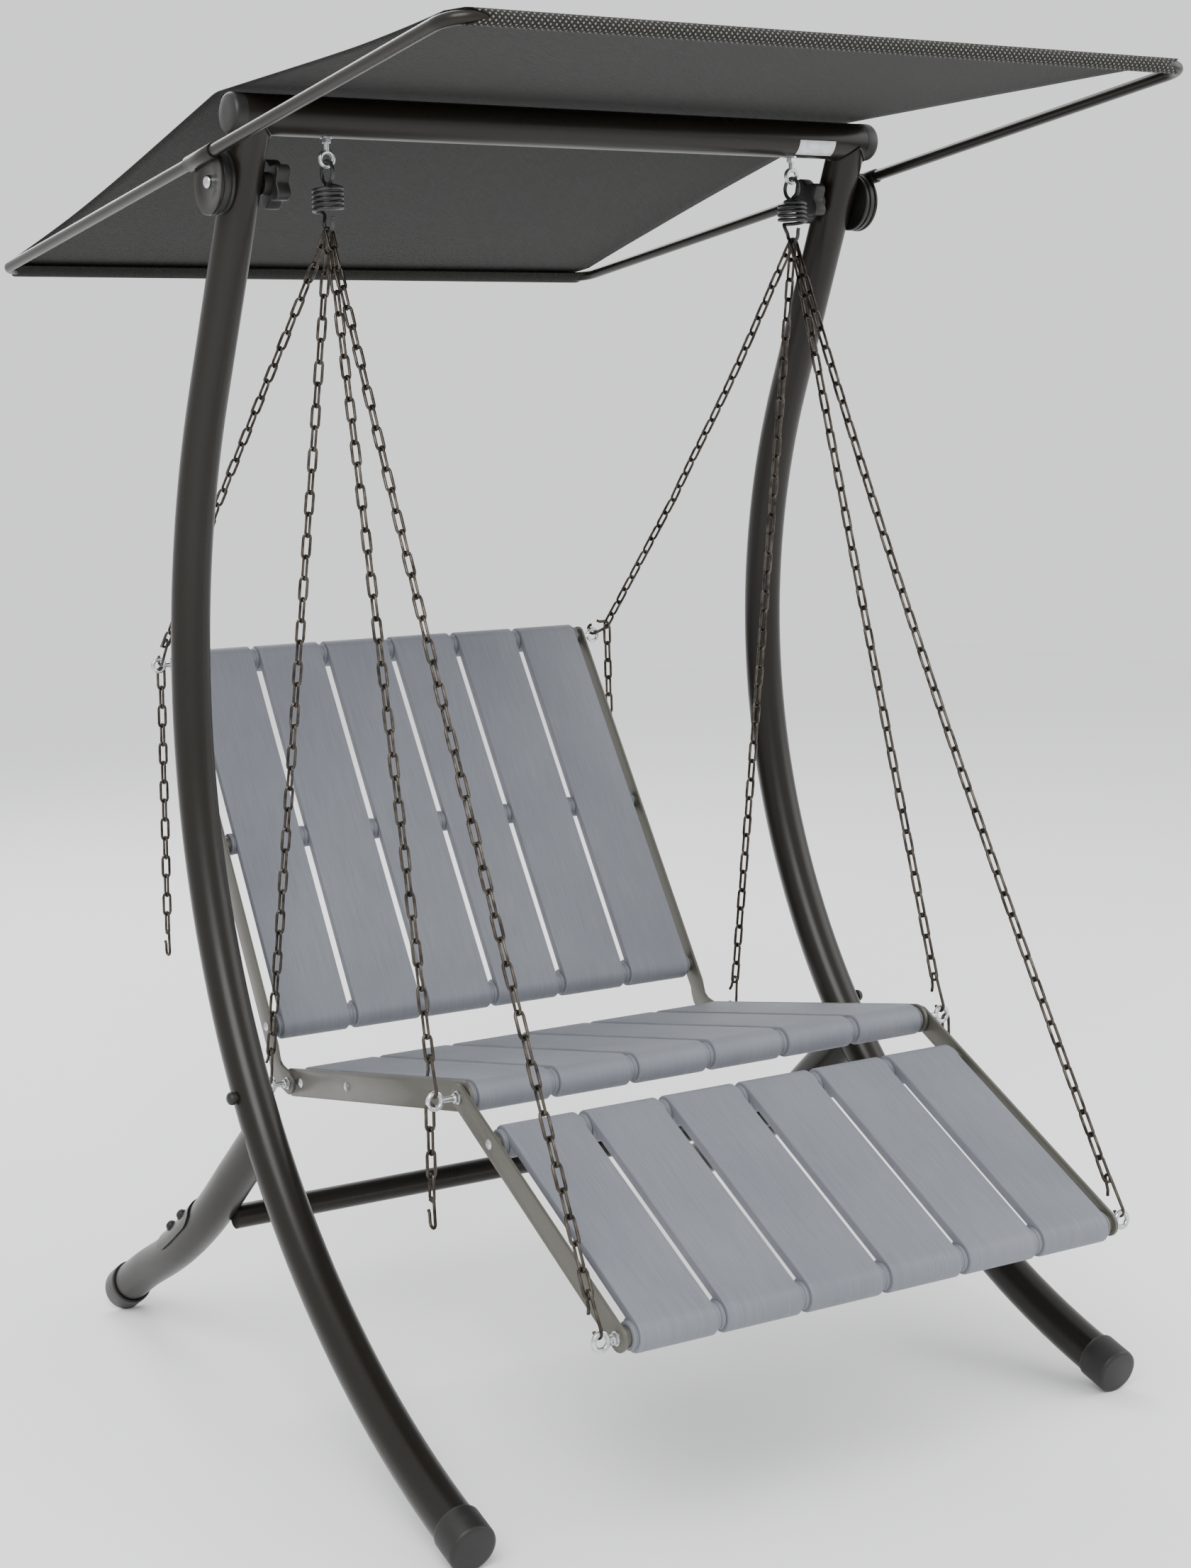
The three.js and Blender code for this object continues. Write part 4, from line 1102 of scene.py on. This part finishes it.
def wireLoop(bm, low, along, across, length, wideLow=8.5, wideHigh=5.0, wireR=2.3):
    # pear-shaped open loop of wire from a low point
    lean = asin((wideLow - wideHigh) / (length - wideLow - wideHigh))
    first, second = low + along * wideLow, low + along * (length - wideHigh)
    line = []
    for i in range(13):
        a = lean - (pi + 2 * lean) * i / 12
        line.append(first + (across * cos(a) + along * sin(a)) * wideLow)
    for i in range(11):
        a = pi - lean - (pi - 2 * lean) * i / 10
        line.append(second + (across * cos(a) + along * sin(a)) * wideHigh)
    line.append(line[-1].lerp(line[0], 0.35) + across * 1.5)
    line.append(line[-2].lerp(line[0], 0.52) + across * 5)
    sweep(bm, [at(*p) for p in line], wireR * mm, 10)


def hookShape(x, ring, towards, length):
    bm = bmesh.new()
    base = Vector((x, *ring))
    along = (Vector(towards) - base).normalized()
    across = along.cross(Vector((1, 0, 0))).normalized()
    wireLoop(bm, base + along * 4.7, along, across, length)
    return bm


def uprightHook(x, ring, towards):
    # hooked round the top of the ring, standing on edge
    bm = bmesh.new()
    base = Vector((x, ring[0], ring[1] + 10.5))
    along = Vector(towards) - base
    length = along.length + 8.6
    along.normalize()
    across = (Vector((0, 0, 1)) - along * along.z).normalized()
    wireLoop(bm, base - along * 6.6, along, across, length, 8.5, 6, 2.7)
    return bm


chains = {
    "seatRearChain": {"body": "seat", "node": "seat_rear_chain", "endX": 440, "end": seatRear,
                      "sag": (0, 0)},
    "seatFrontChain": {"body": "seat", "node": "seat_front_chain", "endX": 443, "end": seatFront,
                       "sag": (0, 0)},
    "footrestChain": {"body": "footrest_chain", "node": "footrest_chain", "endX": 431,
                      "end": footFront, "sag": (20, 4)},
}
hookReach = 56
backHookEnds = {"_r": (459, 618, 1058), "_l": (437, 594, 1078)}
tailStarts = {"_r": (459, 618, 1058), "_l": (431, 632, 1036)}


def addTail(bm, start, count):
    # loose end: links straight down with a wire loop under the last one
    x, y, z = start
    first, pitch = 20, 31.5
    addLinks(bm, bigLink, lambda s: at(x, y, z - s), [first + i * pitch for i in range(count)])
    low = Vector((x, y, z - first - (count - 1) * pitch - 13.7))
    wireLoop(bm, low, Vector((0, 0, -1)), Vector((0, 1, 0)), 40, 5, 7)


def addChains():
    for name, chain in chains.items():
        x0, x1, end = hangX, chain["endX"], chain["end"]
        last = spanOf(hookPlace, end) - hookReach - 13
        for side, sag in zip(("_r", "_l"), chain["sag"]):
            bm = bmesh.new()
            addLinks(bm, bigLink, chainLine(x0, x1, end, sag), spread(16, last))
            addSide(name, side, bm, chain["body"], chainFinish, [chain["node"]])
        body = "footrest" if chain["body"] == "footrest_chain" else "seat"
        hook = hookShape(x1, end, (x0, *hookPlace), hookReach)
        addPair(name.replace("Chain", "Hook"), hook, body, chainFinish)
    for side, hookEnd in backHookEnds.items():
        end = hookEnd[1:]
        full = spanOf(hookPlace, end) + 4
        line = chainLine(hangX, hookEnd[0], end, -6 if side == "_r" else 0, 0.36)
        places = spread(16, full - 13)
        bm = bmesh.new()
        addLinks(bm, bigLink, line, places)
        addSide("backChain", side, bm, "back_chain_top", chainFinish, ["back_chain_upper"])
        bm = bmesh.new()
        addLinks(bm, thinLink, line, places[-10:], (len(places) - 10) % 2)
        addSide("backChainEnd", side, bm, "back_chain_end", chainFinish, ["back_chain_lower"])
        x = eyes["backEye"]["ringX"]
        if side == "_l":
            reach = (Vector(hookEnd) - Vector((x, *backTop))).length + 2
            hook = hookShape(x, backTop, hookEnd, reach)
        else:
            hook = uprightHook(x, backTop, hookEnd)
        addSide("backHook", side, hook, "back_chain_end", chainFinish)
        bm = bmesh.new()
        addTail(bm, tailStarts[side], 14)
        addSide("backTail", side, bm, "back_tail" + side, chainFinish, ["back_tail"])
    bm = bmesh.new()
    addTail(bm, (451, *seatFront), 4)
    addPair("seatTail", bm, "seat_tail", chainFinish, ["seat_tail"], 0)


# stage
def addStage():
    bm = bmesh.new()
    bmesh.ops.create_grid(bm, x_segments=1, y_segments=1, size=9)
    mesh = bpy.data.meshes.new("floor")
    bm.to_mesh(mesh)
    bm.free()
    mesh.materials.append(makeFloorFinish())
    floor = bpy.data.objects.new("floor", mesh)
    bpy.context.scene.collection.objects.link(floor)
    world = bpy.data.worlds.new("studio")
    world.use_nodes = True
    background = world.node_tree.nodes["Background"]
    background.inputs["Color"].default_value = (*studio["world"], 1)
    background.inputs["Strength"].default_value = studio["worldStrength"]
    bpy.context.scene.world = world
    for lamp in studio["lamps"]:
        data = bpy.data.lights.new(lamp["name"], "AREA")
        data.size = lamp["size"]
        data.energy = lamp["power"]
        light = bpy.data.objects.new(lamp["name"], data)
        light.location = lamp["place"]
        aim = Vector((0, -0.1, 0.9)) - Vector(lamp["place"])
        light.rotation_euler = aim.to_track_quat("-Z", "Y").to_euler()
        bpy.context.scene.collection.objects.link(light)


addCamera()
addStage()
print("camera and stage set")
addBows()
addCrossbar()
addFeet()
addRearLegs()
addLowerBar()
addNamePlate()
print("frame made")
addTopEyes()
addSprings()
addCanopyFrame()
addTiltClamps()
addCanopyCloth()
print("canopy made")
for sectionName in sections:
    addSectionFrame(sectionName)
    addSlats(sectionName)
    print(sectionName, "made")
addEyes()
addScrews()
addChains()
print("chains made")
